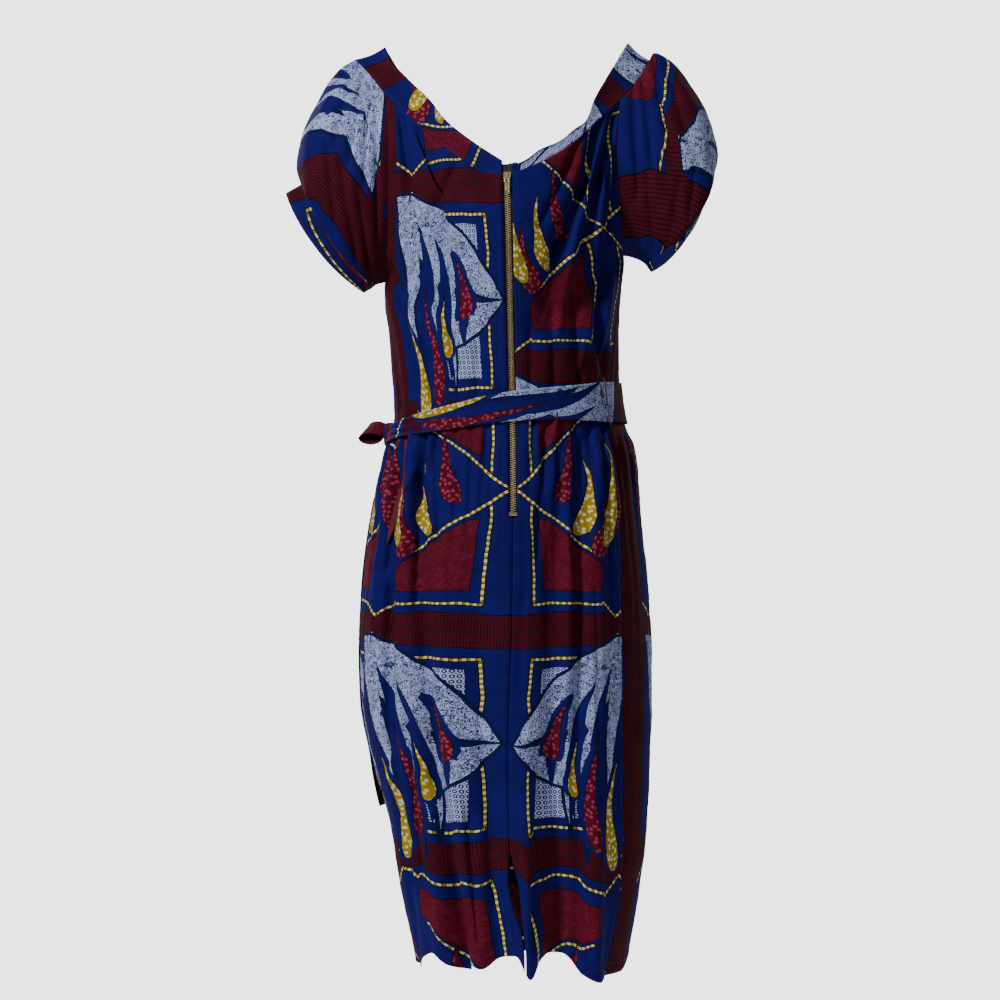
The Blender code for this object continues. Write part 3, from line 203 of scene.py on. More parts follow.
# The armholes, from the underarm up to the neckband, at the front and at the back.
ARMHOLE_FRONT = {
    -1: table(
        "x y z",
        (-0.1535, -0.0040, -0.3030), (-0.1500, -0.0340, -0.2740), (-0.1487, -0.0590, -0.2174),
        (-0.1487, -0.0650, -0.1429), (-0.1528, -0.0500, -0.0701),
    ),
    1: table(
        "x y z",
        (0.1500, -0.0040, -0.2700), (0.1470, -0.0340, -0.2520), (0.1430, -0.0600, -0.2060),
        (0.1395, -0.0660, -0.1431), (0.1436, -0.0520, -0.0781),
    ),
}
ARMHOLE_BACK = {
    -1: table(
        "x y z",
        (-0.1535, -0.0040, -0.3030), (-0.1515, 0.0300, -0.2740), (-0.1500, 0.0560, -0.2180),
        (-0.1500, 0.0640, -0.1440), (-0.1528, 0.0540, -0.0730),
    ),
    1: table(
        "x y z",
        (0.1500, -0.0040, -0.2700), (0.1480, 0.0300, -0.2500), (0.1440, 0.0560, -0.2110),
        (0.1420, 0.0640, -0.1440), (0.1436, 0.0550, -0.0800),
    ),
}

# Each sleeve, ring by ring from the armhole to the cuff's seam and the cuff's edge. A ring is an
# oval between a point over the arm and a point under it, so deep to the front and back, and its
# sides hang so far past its two ends.
SLEEVE_RINGS = {
    -1: table(
        "along over_x over_z under_x under_z deep hang",
        (0.00, -0.1933, -0.0192, -0.1535, -0.3030, 0.064, 0.000),
        (0.18, -0.2165, -0.0390, -0.1590, -0.3045, 0.068, 0.004),
        (0.38, -0.2410, -0.0765, -0.1635, -0.3060, 0.070, 0.008),
        (0.58, -0.2600, -0.1170, -0.1675, -0.3080, 0.067, 0.012),
        (0.78, -0.2670, -0.1540, -0.1700, -0.3100, 0.056, 0.013),
        (1.00, -0.2620, -0.1790, -0.1715, -0.3110, 0.038, 0.008),
    ),
    1: table(
        "along over_x over_z under_x under_z deep hang",
        (0.00, 0.1843, -0.0205, 0.1500, -0.2700, 0.066, 0.000),
        (0.07, 0.1885, -0.0125, 0.1525, -0.2705, 0.067, 0.002),
        (0.18, 0.2110, -0.0235, 0.1570, -0.2710, 0.070, 0.006),
        (0.38, 0.2380, -0.0570, 0.1630, -0.2725, 0.076, 0.012),
        (0.58, 0.2590, -0.0950, 0.1690, -0.2745, 0.080, 0.018),
        (0.78, 0.2680, -0.1400, 0.1740, -0.2770, 0.078, 0.022),
        (1.00, 0.2570, -0.1850, 0.1790, -0.2800, 0.066, 0.015),
    ),
}
CUFF_EDGE = {
    -1: dict(over=(-0.2815, -0.1905), under=(-0.1820, -0.3170), deep=0.036, hang=0.013),
    1: dict(over=(0.2500, -0.2080), under=(0.1860, -0.2900), deep=0.064, hang=0.010),
}
OVAL_TOP = 0.30  # shares of a sleeve's length by which its armhole edge has become an oval,
OVAL_UNDER = 1.00  # over the arm and under it
CAP_GATHERS = 5
CUFF_GATHERS = 9
GATHER_DEPTH = 0.0030

# The sash round the waist, in degrees from the front: the level of its middle, and its width.
# It starts and ends at the knot.
SASH = table(
    "angle z width",
    (-113, -0.4980, 0.022), (-85, -0.4980, 0.022), (-60, -0.4900, 0.024), (-38, -0.4825, 0.029),
    (0, -0.4665, 0.037), (32, -0.4610, 0.043), (62, -0.4590, 0.051), (90, -0.4590, 0.052),
    (180, -0.4680, 0.050), (225, -0.4860, 0.034), (247, -0.4980, 0.022),
)
SASH_OUT = 0.0040  # from the middle of the dress's cloth to the middle of the sash's
KNOT_SIZE = (0.026, 0.015, 0.034)  # round the waist, outwards, up
LOOP_HALF = (0.0170, 0.0085)  # half of the loop's length and height
LOOP_WIDTH = 0.030
LOOP_TILT = 35.0
LOOP_RISE = 0.003  # of its middle over the knot's
TAIL_WIDTH = 0.046
TAIL_OUT = 0.0034
TAIL_UNDER_KNOT = 0.0050  # how much further out a tail starts
TAILS = {
    # the angle at the knot and at the end, the length, and how far the end stands off the skirt
    "long": dict(top=-108.5, end=-103.0, length=0.460, stand=0.006),
    "short": dict(top=-117.5, end=-125.0, length=0.330, stand=0.0),
}

# Pockets, in the side seams.
POCKET_TOP_Z = -0.500
POCKET_FOOT_Z = -0.660
POCKET_SPAN = 13.0  # degrees that it runs forward, at its longest
POCKET_BEHIND = 2  # degrees behind the side seam, where it starts
POCKET_BULGE = (0.15, 0.75)  # the stretch of half a wave that its front edge follows: start, length
POCKET_AT_BACK = 0.0030  # how far inside the skirt it lies at its back edge and its front edge
POCKET_INSIDE = 0.0038
MOUTH_TOP_Z = -0.490
MOUTH_FOOT_Z = -0.625
MOUTH_GAPE = 0.0065
MOUTH_SETTLE = 0.040  # from an end of the mouth to its full gape
MOUTH_REACH = 0.027  # how far from the seam the front panel's cloth stands off


# Curves and surfaces.


def smooth(at, places, values):
    """A smooth curve through (places, values) that doesn't overshoot, read at the given places."""
    at = np.asarray(at, float)
    step = np.diff(places)
    slope = np.diff(values) / step
    left, right = slope[:-1], slope[1:]
    same_way = left * right > 0
    inner = np.where(same_way, 2 * left * right / np.where(same_way, left + right, 1), 0)
    tangent = np.concatenate([slope[:1], inner, slope[-1:]])
    i = np.clip(np.searchsorted(places, at) - 1, 0, len(step) - 1)
    t = np.clip((at - places[i]) / step[i], 0, 1)
    low, high = values[i], values[i + 1]
    return (
        low * (1 + 2 * t) * (1 - t) ** 2
        + high * t * t * (3 - 2 * t)
        + tangent[i] * step[i] * t * (1 - t) ** 2
        - tangent[i + 1] * step[i] * t * t * (1 - t)
    )


def read(rows, column, at):
    """A column of a table, read smoothly along its first column."""
    return smooth(at, next(iter(rows.values())), rows[column])


def points_of(rows):
    """The x, y and z columns of a table as points."""
    return np.stack([rows["x"], rows["y"], rows["z"]], axis=-1)


def line_through(points):
    """A smooth curve through points, as a function of the share of its length, 0 to 1."""
    points = np.asarray(points, float)
    along = np.concatenate([[0], np.cumsum(np.linalg.norm(np.diff(points, axis=0), axis=1))])
    along /= along[-1]

    def curve(share):
        return np.stack([smooth(share, along, points[:, k]) for k in range(3)], axis=-1)

    curve.stops = along
    return curve


def edge_of(rows):
    """The smooth curve through a table's points."""
    return line_through(points_of(rows))


def part_of(curve, start, end):
    """The stretch of a curve between two shares of its length."""
    return lambda share: curve(start + (end - start) * np.asarray(share, float))


def one_after_another(*curves_and_ends):
    """Curves joined end to end; each is given with the share of the whole at which it ends."""

    def curve(share):
        share = np.asarray(share, float)
        out = np.zeros(share.shape + (3,))
        start = 0.0
        for piece, end in curves_and_ends:
            here = (share >= start) & (share <= end + 1e-12)
            out[here] = piece((share[here] - start) / (end - start))
            start = end
        return out

    return curve


def patch(low, high, start, end, reach=1):
    """A surface that fills four edges: low and high run across, start and end run up. The higher
    the reach's power, the sooner the shape of the start and end fades towards the middle."""

    def surface(across, along):
        u, v = across[:, None], along[:, None]
        zero, one = np.zeros(1), np.ones(1)
        ruled = (1 - v) * low(across) + v * high(across)
        at_start = start(along) - (1 - v) * low(zero) - v * high(zero)
        at_end = end(along) - (1 - v) * low(one) - v * high(one)
        return ruled + (1 - u) ** reach * at_start + u**reach * at_end

    return surface


def normals_of(surface, across, along, step=1e-4):
    """The unit normals of a surface."""
    across = np.clip(across, step, 1 - step)
    du = surface(across + step, along) - surface(across - step, along)
    dv = surface(across, along + step) - surface(across, along - step)
    normal = np.cross(du, dv)
    return normal / np.linalg.norm(normal, axis=-1)[..., None]


def ramp(value, start, end):
    """0 before start and 1 after end, with a soft turn at both."""
    t = np.clip((np.asarray(value, float) - start) / (end - start), 0, 1)
    return t * t * (3 - 2 * t)


def sides(z):
    """The body's middle across, and half its width."""
    left, right = read(BODY, "left", z), read(BODY, "right", z)
    return (left + right) / 2, (right - left) / 2


def body(angle, z):
    """A point of the dress's body, before its folds, at an angle in degrees from the front."""
    a = np.radians(angle)
    middle, half = sides(z)
    deep = np.where(np.cos(a) > 0, read(BODY, "front", z), read(BODY, "back", z))
    return np.stack([middle + half * np.sin(a), -deep * np.cos(a), z], axis=-1)


def angle_at(x, z, side=1):
    """The angle, in degrees from the front, of the body's point at x."""
    middle, half = sides(z)
    share = np.clip((x - middle) / half, -0.999, 0.999)
    from_front = np.degrees(np.arcsin(share))
    return np.where(np.asarray(side) > 0, from_front, 180 - from_front)


def outwards(angle, z):
    """The body's outward direction, level."""
    ahead, behind = body(angle + 0.5, z), body(angle - 0.5, z)
    tangent = ahead - behind
    normal = np.stack([tangent[..., 1], -tangent[..., 0], np.zeros_like(z)], axis=-1)
    return normal / np.linalg.norm(normal, axis=-1)[..., None]


def sash_level(angle, up=0.0):
    """The level of the sash's middle, or of a place above it as a share of the sash's width."""
    angle = (np.asarray(angle, float) - KNOT_ANGLE) % 360 + KNOT_ANGLE
    return read(SASH, "z", angle) + up * read(SASH, "width", angle)


def fold_depth(angle, z):
    """How far the skirt's folds move the cloth outwards. They start below the sash."""
    depth = np.zeros_like(z)
    top = sash_level(angle, -0.5)
    levels = np.array(FOLD_LEVELS)[::-1]
    for fold in rows_of(FOLDS):
        x = smooth(z, levels, np.array([fold["x_hem"], fold["x_middle"], fold["x_top"]]))
        depths = np.array([fold["deep_hem"], fold["deep_middle"], fold["deep_top"]])
        deep = smooth(z, levels, depths)
        centre = angle_at(x, z, fold["side"])
        across = np.radians((angle - centre + 180) % 360 - 180)
        radius = np.linalg.norm(body(centre, z)[..., :2], axis=-1)
        depth = depth + deep * np.exp(-((across * radius / fold["half"]) ** 2))
    return depth * ramp(top - z, FOLD_CLEAR, FOLD_CLEAR + FOLD_START)


def skirt_cloth(angle, z):
    """A point of the skirt's cloth."""
    return body(angle, z) + outwards(angle, z) * fold_depth(angle, z)[..., None]


def waist_z(angle):
    """The level of the waist seam, which tilts with x."""
    x = body(angle, np.full_like(angle, WAIST_Z))[..., 0]
    return WAIST_Z + WAIST_TILT * x


# Bodice.

SIDE_ROWS = 5
ARMHOLE_ROWS = 12
BODICE_ROWS = SIDE_ROWS + ARMHOLE_ROWS
PANEL_WIDE = 0.20
# Shares of a bodice front's width from the zip, or of its height from the waist.
FREE_FROM_WAIST = (0.16, 0.38)  # below these levels it lies on the body, above them it is free
FULL_FROM_ZIP = 0.10  # how far its fullness takes to grow, from the zip and from its other edges
FULL_FROM_EDGE = 0.08
BUST_AT = (0.48, 0.62)
BUST_REACH = (0.26, 0.24)
BACK_FREE = (0.12, 0.50)  # levels between which the back's fullness grows
FOLD_RISE = 0.25  # shares of a fold's length over which it would grow from nothing,
FOLD_AT_END = 0.35  # and of its depth that it has at its ends


def side_seam_angle(side, z):
    return read(SIDE_SEAMS, "left" if side < 0 else "right", z)


def waist_side_angle(side):
    """The angle at which a side seam meets the waist."""
    angle = np.array([float(side_seam_angle(side, WAIST_Z))])
    for _ in range(8):
        angle = side_seam_angle(side, waist_z(angle))
    return float(angle[0])


def waist_arc(start, end):
    """The waist seam between two angles."""

    def curve(share):
        angle = start + (end - start) * np.asarray(share, float)
        return body(angle, waist_z(angle))

    return curve


def waist_point(angle):
    """The point of the waist seam at an angle."""
    return waist_arc(angle, 0.0)(np.zeros(1))[0]


def up_body(angle_of, foot, top):
    """A line up the body, at the angle that goes with each level, drawn over to its two ends."""
    levels = np.array([foot[2], top[2]])
    miss = np.stack([foot, top]) - body(angle_of(levels), levels)

    def line(share):
        share = np.asarray(share, float)
        z = foot[2] + (top[2] - foot[2]) * share
        plain = body(angle_of(z), z)
        return plain + (1 - share)[..., None] * miss[0] + share[..., None] * miss[1]

    return line


def bodice_side(side, armhole):
    """The side seam from the waist to the underarm, and on up an armhole."""
    waist = waist_point(waist_side_angle(side))
    seam = up_body(partial(side_seam_angle, side), waist, points_of(armhole)[0])
    return one_after_another((seam, SIDE_ROWS / BODICE_ROWS), (edge_of(armhole), 1.0))


def front_gap(z):
    """From the front's middle line to a panel's edge, at the zip, the seam below or the slit."""
    half = SEAM / 2 + (OPENING_HALF - SEAM / 2) * np.clip(
        (z - ZIP_END_Z + ZIP_END_STEP) / ZIP_END_STEP, 0, 1
    )
    return half + read(FRONT_LINE, "slit", z)


def front_edge_angle(side, z):
    """The angle of a front panel's inner edge."""
    z = np.asarray(z, float)
    x = read(FRONT_LINE, "x", z) + side * front_gap(z)
    return angle_at(x, z)


def front_edge(side):
    """The edge of the zip opening, from the waist up to the neckband."""
    neck = points_of(BAND_SEAM)[0 if side < 0 else -1]
    waist = waist_point(float(front_edge_angle(side, WAIST_Z)))
    return up_body(partial(front_edge_angle, side), waist, neck)


def share_at(rows, joint):
    """The share of an edge's length at the row that lies nearest to a joint."""
    nearest = int(np.argmin(np.linalg.norm(points_of(rows) - joint, axis=1)))
    return float(edge_of(rows).stops[nearest])


def shoulder(rows, side):
    """The share of a neckband edge's length at a shoulder top."""
    tops = [place for place in points_of(rows) if place[1] == 0 and place[0] * side > 0]
    return share_at(rows, tops[0])


def seam_of_band(side, armholes):
    """The share of the band's seam at which a sleeve starts, at the front or the back."""
    return share_at(BAND_SEAM, points_of(armholes[side])[-1])


def close_to_waist(plain, start, end, start_angle, end_angle):
    """A bodice panel's surface, which near the waist lies on the dress's body, as the sash does."""

    def surface(across, along):
        points = plain(across, along)
        first = start_angle(start(along)[:, 2])
        last = end_angle(end(along)[:, 2])
        level = body(first + (last - first) * across, points[:, 2])
        free = ramp(along, *FREE_FROM_WAIST)[:, None]
        return points * free + level * (1 - free)

    return surface


def bodice_front(side):
    """The surface of a bodice front, from the zip to the side and from the waist to the neck."""
    low = waist_arc(float(front_edge_angle(side, WAIST_Z)), waist_side_angle(side))
    zip_end = 0.0 if side < 0 else 1.0
    high = part_of(edge_of(BAND_SEAM), zip_end, seam_of_band(side, ARMHOLE_FRONT))
    inner = front_edge(side)
    outer = bodice_side(side, ARMHOLE_FRONT[side])
    plain = close_to_waist(patch(low, high, inner, outer), inner, outer,
                           partial(front_edge_angle, side), partial(side_seam_angle, side))

    def surface(across, along):
        out = -side * normals_of(plain, across, along)
        edge = np.clip(along / FULL_FROM_EDGE, 0, 1) * np.clip((1 - along) / FULL_FROM_EDGE, 0, 1)
        edge *= np.clip(across / FULL_FROM_ZIP, 0, 1) * np.clip((1 - across) / FULL_FROM_EDGE, 0, 1)
        beside, above = (across - BUST_AT[0]) / BUST_REACH[0], (along - BUST_AT[1]) / BUST_REACH[1]
        bust = BUST_FULLNESS * np.exp(-(beside**2) - above**2)
        depth = edge * (bust + bodice_folds(side, across, along))
        return plain(across, along) + out * depth[:, None]

    return surface


def bodice_folds(side, across, along):
    """How far the bodice's gathers move a front panel's cloth outwards."""
    depth = np.zeros_like(across)
    for fold in rows_of(BODICE_FOLDS):
        if fold["side"] != side:
            continue
        rise = fold["along_high"] - fold["along_low"]
        run = fold["across_high"] - fold["across_low"]
        share = (along - fold["along_low"]) / rise
        beside = across - (fold["across_low"] + run * share)
        fade = np.clip(np.minimum(share, 1 - share) / FOLD_RISE + FOLD_AT_END, 0, 1)
        depth += fold["deep"] * fade * np.exp(-((beside / fold["half"]) ** 2))
    return depth


def bodice_back(across, along):
    """The surface of the bodice's back, from the right side seam round to the left one."""
    right = bodice_side(1, ARMHOLE_BACK[1])
    left = bodice_side(-1, ARMHOLE_BACK[-1])
    low = waist_arc(waist_side_angle(1), waist_side_angle(-1) + 360)
    ends = (seam_of_band(side, ARMHOLE_BACK) for side in (1, -1))
    high = part_of(edge_of(BAND_SEAM), *ends)
    plain = close_to_waist(patch(low, high, right, left, reach=2.5), right, left,
                           partial(side_seam_angle, 1), lambda z: side_seam_angle(-1, z) + 360)
    full = BACK_FULLNESS * ramp(along, *BACK_FREE) * np.sin(math.pi * along)
    full = full * np.sin(math.pi * across) ** 2
    return plain(across, along) + np.stack([0 * full, full, 0 * full], axis=-1)


# Neckband.

BAND_CROWN = 0.002
BAND_WIDE = 0.032


def band(seam, neck_edge, crown):
    """A strip between the band's seam and its free edge, a little rounded across its width."""

    def ruled(across, along):
        return seam(across) * (1 - along)[:, None] + neck_edge(across) * along[:, None]

    def surface(across, along):
        out = normals_of(ruled, across, along)
        width = np.linalg.norm(neck_edge(across) - seam(across), axis=1)
        rise = crown * width / BAND_WIDE * np.sin(math.pi * along)
        return ruled(across, along) + out * rise[:, None]

    return surface


def neckband(side):
    """A stretch of the neckband: a front for side -1 or 1, or the back for 0."""
    lines = []
    for rows in (BAND_SEAM, NECK_EDGE):
        whole = edge_of(rows)
        if side:
            ends = (0.0 if side < 0 else 1.0, shoulder(rows, side))
        else:
            ends = (shoulder(rows, 1), shoulder(rows, -1))
        lines.append(part_of(whole, *ends))
    return band(lines[0], lines[1], -(side or 1) * BAND_CROWN)


# Sleeves.

SLEEVE_COLUMNS = 40
CAP_WIDE = 0.2  # share of the way round over which the cap's gathers fade, from the top
CAP_LONG = 0.5  # shares of the length over which the cap's and the cuff's gathers fade,
CUFF_LONG = 0.35
CAP_SETTLE = 0.1  # and over which they grow from the seams
CUFF_SETTLE = 0.18


def armhole_loop(side):
    """The edge that a sleeve is sewn to: up the back from the underarm, over the shoulder
    under the neckband, and down the front."""
    seam = edge_of(BAND_SEAM)
    back = seam_of_band(side, ARMHOLE_BACK)
    front = seam_of_band(side, ARMHOLE_FRONT)
    top = shoulder(BAND_SEAM, side)
    return one_after_another(
        (edge_of(ARMHOLE_BACK[side]), ARMHOLE_ROWS / SLEEVE_COLUMNS),
        (part_of(seam, back, top), 0.50),
        (part_of(seam, top, front), 1 - ARMHOLE_ROWS / SLEEVE_COLUMNS),
        (part_of(edge_of(ARMHOLE_FRONT[side]), 1.0, 0.0), 1.0),
    )


def oval(turn, over, under, deep, hang):
    """A ring between two points in the front view, (x, z), deep to the front and back. Turn 0 is
    its point under the arm, and the back comes next."""
    middle = (over + under) / 2
    half = (under - over) / 2
    long_way = half / np.linalg.norm(half, axis=-1)[..., None]
    out = np.stack([-long_way[..., 1], long_way[..., 0]], axis=-1)
    out = out * np.where(out[..., 1] > 0, -1, 1)[..., None]
    flat = middle + half * np.cos(turn)[..., None] + out * (hang * np.sin(turn) ** 2)[..., None]
    return np.stack([flat[..., 0], deep * np.sin(turn), flat[..., 1]], axis=-1)


def sleeve_ring(side, turn, along):
    rows = SLEEVE_RINGS[side]
    at = {c: smooth(along, rows["along"], rows[c]) for c in rows}
    over = np.stack([at["over_x"], at["over_z"]], axis=-1)
    under = np.stack([at["under_x"], at["under_z"]], axis=-1)
    return oval(turn, over, under, at["deep"], at["hang"])


def sleeve(side):
    """A sleeve's surface: round it from the underarm, and along it from armhole to cuff."""
    armhole = armhole_loop(side)

    def surface(across, along):
        across = across % 1.0
        turn = 2 * math.pi * across
        ring = sleeve_ring(side, turn, along)
        first = sleeve_ring(side, turn, np.zeros_like(along))
        round_at = OVAL_TOP + (OVAL_UNDER - OVAL_TOP) * (0.5 + 0.5 * np.cos(turn))
        miss = (armhole(across) - first) * (1 - ramp(along, 0, round_at))[:, None]
        away = ring - sleeve_middle(side, along)
        away /= np.linalg.norm(away, axis=1)[:, None]
        top = np.exp(-(((across - 0.5) / CAP_WIDE) ** 2))
        gathers = np.exp(-((along / CAP_LONG) ** 2)) * top * np.cos(CAP_GATHERS * 2 * turn)
        over = 0.5 - 0.5 * np.cos(turn)
        gathers += over * np.exp(-(((1 - along) / CUFF_LONG) ** 2)) * np.cos(CUFF_GATHERS * turn)
        settle = np.clip(along / CAP_SETTLE, 0, 1) * ramp(1 - along, 0, CUFF_SETTLE)
        return ring + miss + away * (GATHER_DEPTH * gathers * settle)[:, None]

    return surface


def sleeve_middle(side, along):
    quarter = sleeve_ring(side, np.full_like(along, 0.0), along)
    return (quarter + sleeve_ring(side, np.full_like(along, math.pi), along)) / 2


def cuff(side):
    """The narrow band that ends a sleeve."""
    edge = CUFF_EDGE[side]

    def surface(across, along):
        turn = 2 * math.pi * (across % 1.0)
        inner = sleeve_ring(side, turn, np.ones_like(turn))
        ends = (np.array(edge["over"]), np.array(edge["under"]))
        outer = oval(turn, *ends, edge["deep"], edge["hang"])
        return inner * (1 - along)[:, None] + outer * along[:, None]

    return surface


# Skirt.

SKIRT_LEVELS = (
    WAIST_Z - SEAM, -0.488, -0.503, -0.522, -0.560, ZIP_END_Z, ZIP_END_Z - ZIP_END_STEP, -0.660,
    -0.725, -0.790, -0.860, -0.930, -0.995, -1.055, -1.110, -1.160,
)
TILTED_ROWS = 4  # rows below the waist over which its tilt dies away
LEVEL_Z = -0.70  # below this level the rows bend towards the hem's line
SKIRT_ROWS = len(SKIRT_LEVELS) - 1


def skirt_panel(inner_angle, outer_angle, hem, gape):
    """The surface of a skirt panel, from its waist to its hem, between two edges. The gape is
    the side on which a front panel stands off at its pocket, or 0."""

    def surface(across, along):
        level = np.interp(along * SKIRT_ROWS, range(SKIRT_ROWS + 1), SKIRT_LEVELS)
        near_top = np.clip(1 - along * SKIRT_ROWS / TILTED_ROWS, 0, 1)
        near_hem = np.clip((level - LEVEL_Z) / (SKIRT_LEVELS[-1] - LEVEL_Z), 0, 2) ** 2
        z = level
        for _ in range(4):
            angle = inner_angle(z) + (outer_angle(z) - inner_angle(z)) * across
            foot = read(hem, "z", angle)
            z = level + (waist_z(angle) - WAIST_Z) * near_top
            z = z + (foot - SKIRT_LEVELS[-1]) * near_hem
        points = skirt_cloth(angle, z)
        if gape:
            points = points + outwards(angle, z) * pocket_gape(gape, angle, z)[:, None]
        return points

    return surface


def pocket_gape(side, angle, z):
    """How far a front panel's cloth stands off at its pocket's mouth."""
    from_seam = np.radians(np.abs(side_seam_angle(side, z) - angle)) * BODY_RADIUS
    near = np.exp(-((from_seam / MOUTH_REACH) ** 2))
    end = ramp(MOUTH_TOP_Z - z, 0, MOUTH_SETTLE) * ramp(z - MOUTH_FOOT_Z, 0, MOUTH_SETTLE)
    return MOUTH_GAPE * near * end


def seam_edge(side, away):
    """The angle of a side seam, moved away from it by a seam's gap."""

    def edge(z):
        return side_seam_angle(side, z) + away * math.degrees(SEAM / BODY_RADIUS)

    return edge


def front_panel(side):
    return skirt_panel(partial(front_edge_angle, side), seam_edge(side, -side), HEM_FRONT, side)


# Sash.


def sash(angle, up, out):
    """A point of the sash: round the waist, up its width from -0.5 to 0.5, and out."""
    z = sash_level(angle, up)
    return body(angle, z) + outwards(angle, z) * np.asarray(out, float)[..., None]


def degrees_round_waist(length, angle):
    """The angle that a length round the waist spans, near an angle."""
    ends = sash(np.array([angle - 1.0, angle + 1.0]), 0.0, np.zeros(2))
    return 2 * length / np.linalg.norm(ends[1] - ends[0])


def knot_place():
    """The middle of the knot and its directions: round the waist, outwards, up."""
    angle = np.array(KNOT_ANGLE)
    z = sash_level(angle)
    out = outwards(angle, z)
    middle = body(angle, z - KNOT_SIZE[2] / 2) + out * (SASH_OUT + KNOT_SIZE[1] / 2)
    middle[2] = z
    return middle, np.array([out[1], -out[0], 0.0]), out, np.array([0, 0, 1.0])


# Zip.


def front_sheet(side, distance, z):
    """The front's cloth at a level, at a distance from the zip opening's edge."""
    z = np.asarray(z, float)
    distance = np.broadcast_to(np.asarray(distance, float), z.shape)
    above = z > WAIST_Z
    out = np.zeros(z.shape + (3,))
    if above.any():
        along = (z[above] - WAIST_Z) / (NECK_Z - WAIST_Z)
        out[above] = bodice_front(side)(distance[above] / PANEL_WIDE, along)
    if (~above).any():
        low = z[~above]
        angle = front_edge_angle(side, low) + side * np.degrees(distance[~above] / BODY_RADIUS)
        out[~above] = skirt_cloth(angle, low)
    return out


def zip_line(z):
    """The middle of the zip at a level."""
    return (front_sheet(-1, 0.0, z) + front_sheet(1, 0.0, z)) / 2


def lean(z):
    """The turn about X that stands a piece along the zip at a level."""
    low, high = zip_line(np.array([z - 0.01, z + 0.01]))
    return -math.atan2(high[1] - low[1], high[2] - low[2])


# ---- Cloth ----

WALL = 0.0011  # thickness of the cloth as it shows
STEP = 0.0034  # size of a cloth mesh's cells
SEWN_EDGE = 0.006  # from a sewn edge to where the cloth has its full relief
BESIDE_ZIP = (0.011, 0.026)  # from the zip's middle to where cloth starts to be free, and is
BELOW_ZIP = 0.03  # from the zip's foot to where it has its freedom there, and how much that is
BELOW_ZIP_FREE = 0.6
AT_SIDE = 0.15  # how much of a front's or back's creases show at the sides, where cloth faces X
FACING_GAIN = 1.6  # how fast they grow as it turns

# Creases that pull or hang in the cloth, in the plane of the front: from one place to another,
# how far each moves the cloth out or in, and half its width.
BODICE_CREASES = table(
    "x0 z0 x1 z1 deep half",
    (0.122, -0.082, 0.096, -0.190, -0.0045, 0.0060),
    (0.096, -0.190, 0.066, -0.268, -0.0045, 0.0070),
    (0.066, -0.268, 0.050, -0.330, -0.0028, 0.0080),
    (0.134, -0.110, 0.118, -0.180, -0.0038, 0.0050),
    (0.118, -0.180, 0.098, -0.262, -0.0038, 0.0060),
    (0.104, -0.100, 0.078, -0.170, -0.0020, 0.0060),
    (0.078, -0.170, 0.048, -0.232, -0.0020, 0.0070),
    (0.140, -0.150, 0.132, -0.235, -0.0030, 0.0050),
    (0.132, -0.235, 0.122, -0.320, -0.0028, 0.0060),
    (0.110, -0.290, 0.120, -0.400, -0.0026, 0.0070),
    (0.086, -0.330, 0.092, -0.430, -0.0022, 0.0070),
    (0.058, -0.355, 0.060, -0.440, -0.0018, 0.0070),
    (0.030, -0.380, 0.030, -0.440, -0.0014, 0.0060),
    (-0.108, -0.132, -0.086, -0.198, -0.0036, 0.0060),
    (-0.086, -0.198, -0.078, -0.262, -0.0026, 0.0070),
    (-0.132, -0.110, -0.120, -0.190, -0.0024, 0.0060),
    (-0.068, -0.175, -0.100, -0.236, -0.0022, 0.0060),
    (-0.146, -0.290, -0.120, -0.340, -0.0028, 0.0070),
    (-0.136, -0.330, -0.116, -0.420, -0.0026, 0.0070),
    (-0.104, -0.350, -0.096, -0.440, -0.0020, 0.0070),
    (-0.070, -0.372, -0.066, -0.446, -0.0018, 0.0070),
    (-0.036, -0.386, -0.036, -0.446, -0.0014, 0.0060),
    (-0.052, -0.300, -0.020, -0.322, 0.0014, 0.0080),
)
SKIRT_CREASES = table(
    "x0 z0 x1 z1 deep half",
    (-0.128, -0.505, -0.150, -0.660, -0.0040, 0.0055),
    (-0.118, -0.500, -0.126, -0.640, 0.0024, 0.0055),
    (-0.104, -0.496, -0.112, -0.700, -0.0034, 0.0050),
    (-0.090, -0.494, -0.086, -0.620, -0.0026, 0.0050),
    (-0.064, -0.490, -0.062, -0.590, -0.0020, 0.0050),
    (-0.044, -0.488, -0.046, -0.560, -0.0014, 0.0045),
    (-0.024, -0.486, -0.022, -0.570, -0.0012, 0.0045),
    (0.034, -0.484, 0.024, -0.600, -0.0018, 0.0050),
    (0.050, -0.484, 0.040, -0.640, -0.0024, 0.0055),
    (0.062, -0.484, 0.056, -0.560, 0.0020, 0.0045),
    (0.088, -0.484, 0.084, -0.640, -0.0024, 0.0045),
    (0.106, -0.484, 0.102, -0.620, -0.0026, 0.0050),
    (0.124, -0.484, 0.126, -0.600, -0.0024, 0.0050),
    (-0.146, -0.700, -0.150, -0.900, -0.0036, 0.0080),
    (-0.128, -0.860, -0.112, -1.050, -0.0040, 0.0080),
    (-0.046, -0.980, -0.040, -1.120, -0.0040, 0.0080),
    (-0.030, -0.860, -0.014, -1.080, -0.0022, 0.0070),
    (0.046, -0.900, 0.034, -1.130, -0.0034, 0.0070),
    (0.092, -0.960, 0.086, -1.140, -0.0032, 0.0080),
    (0.112, -0.700, 0.118, -0.960, -0.0016, 0.0070),
    (0.020, -0.700, 0.016, -0.860, -0.0012, 0.0060),
)
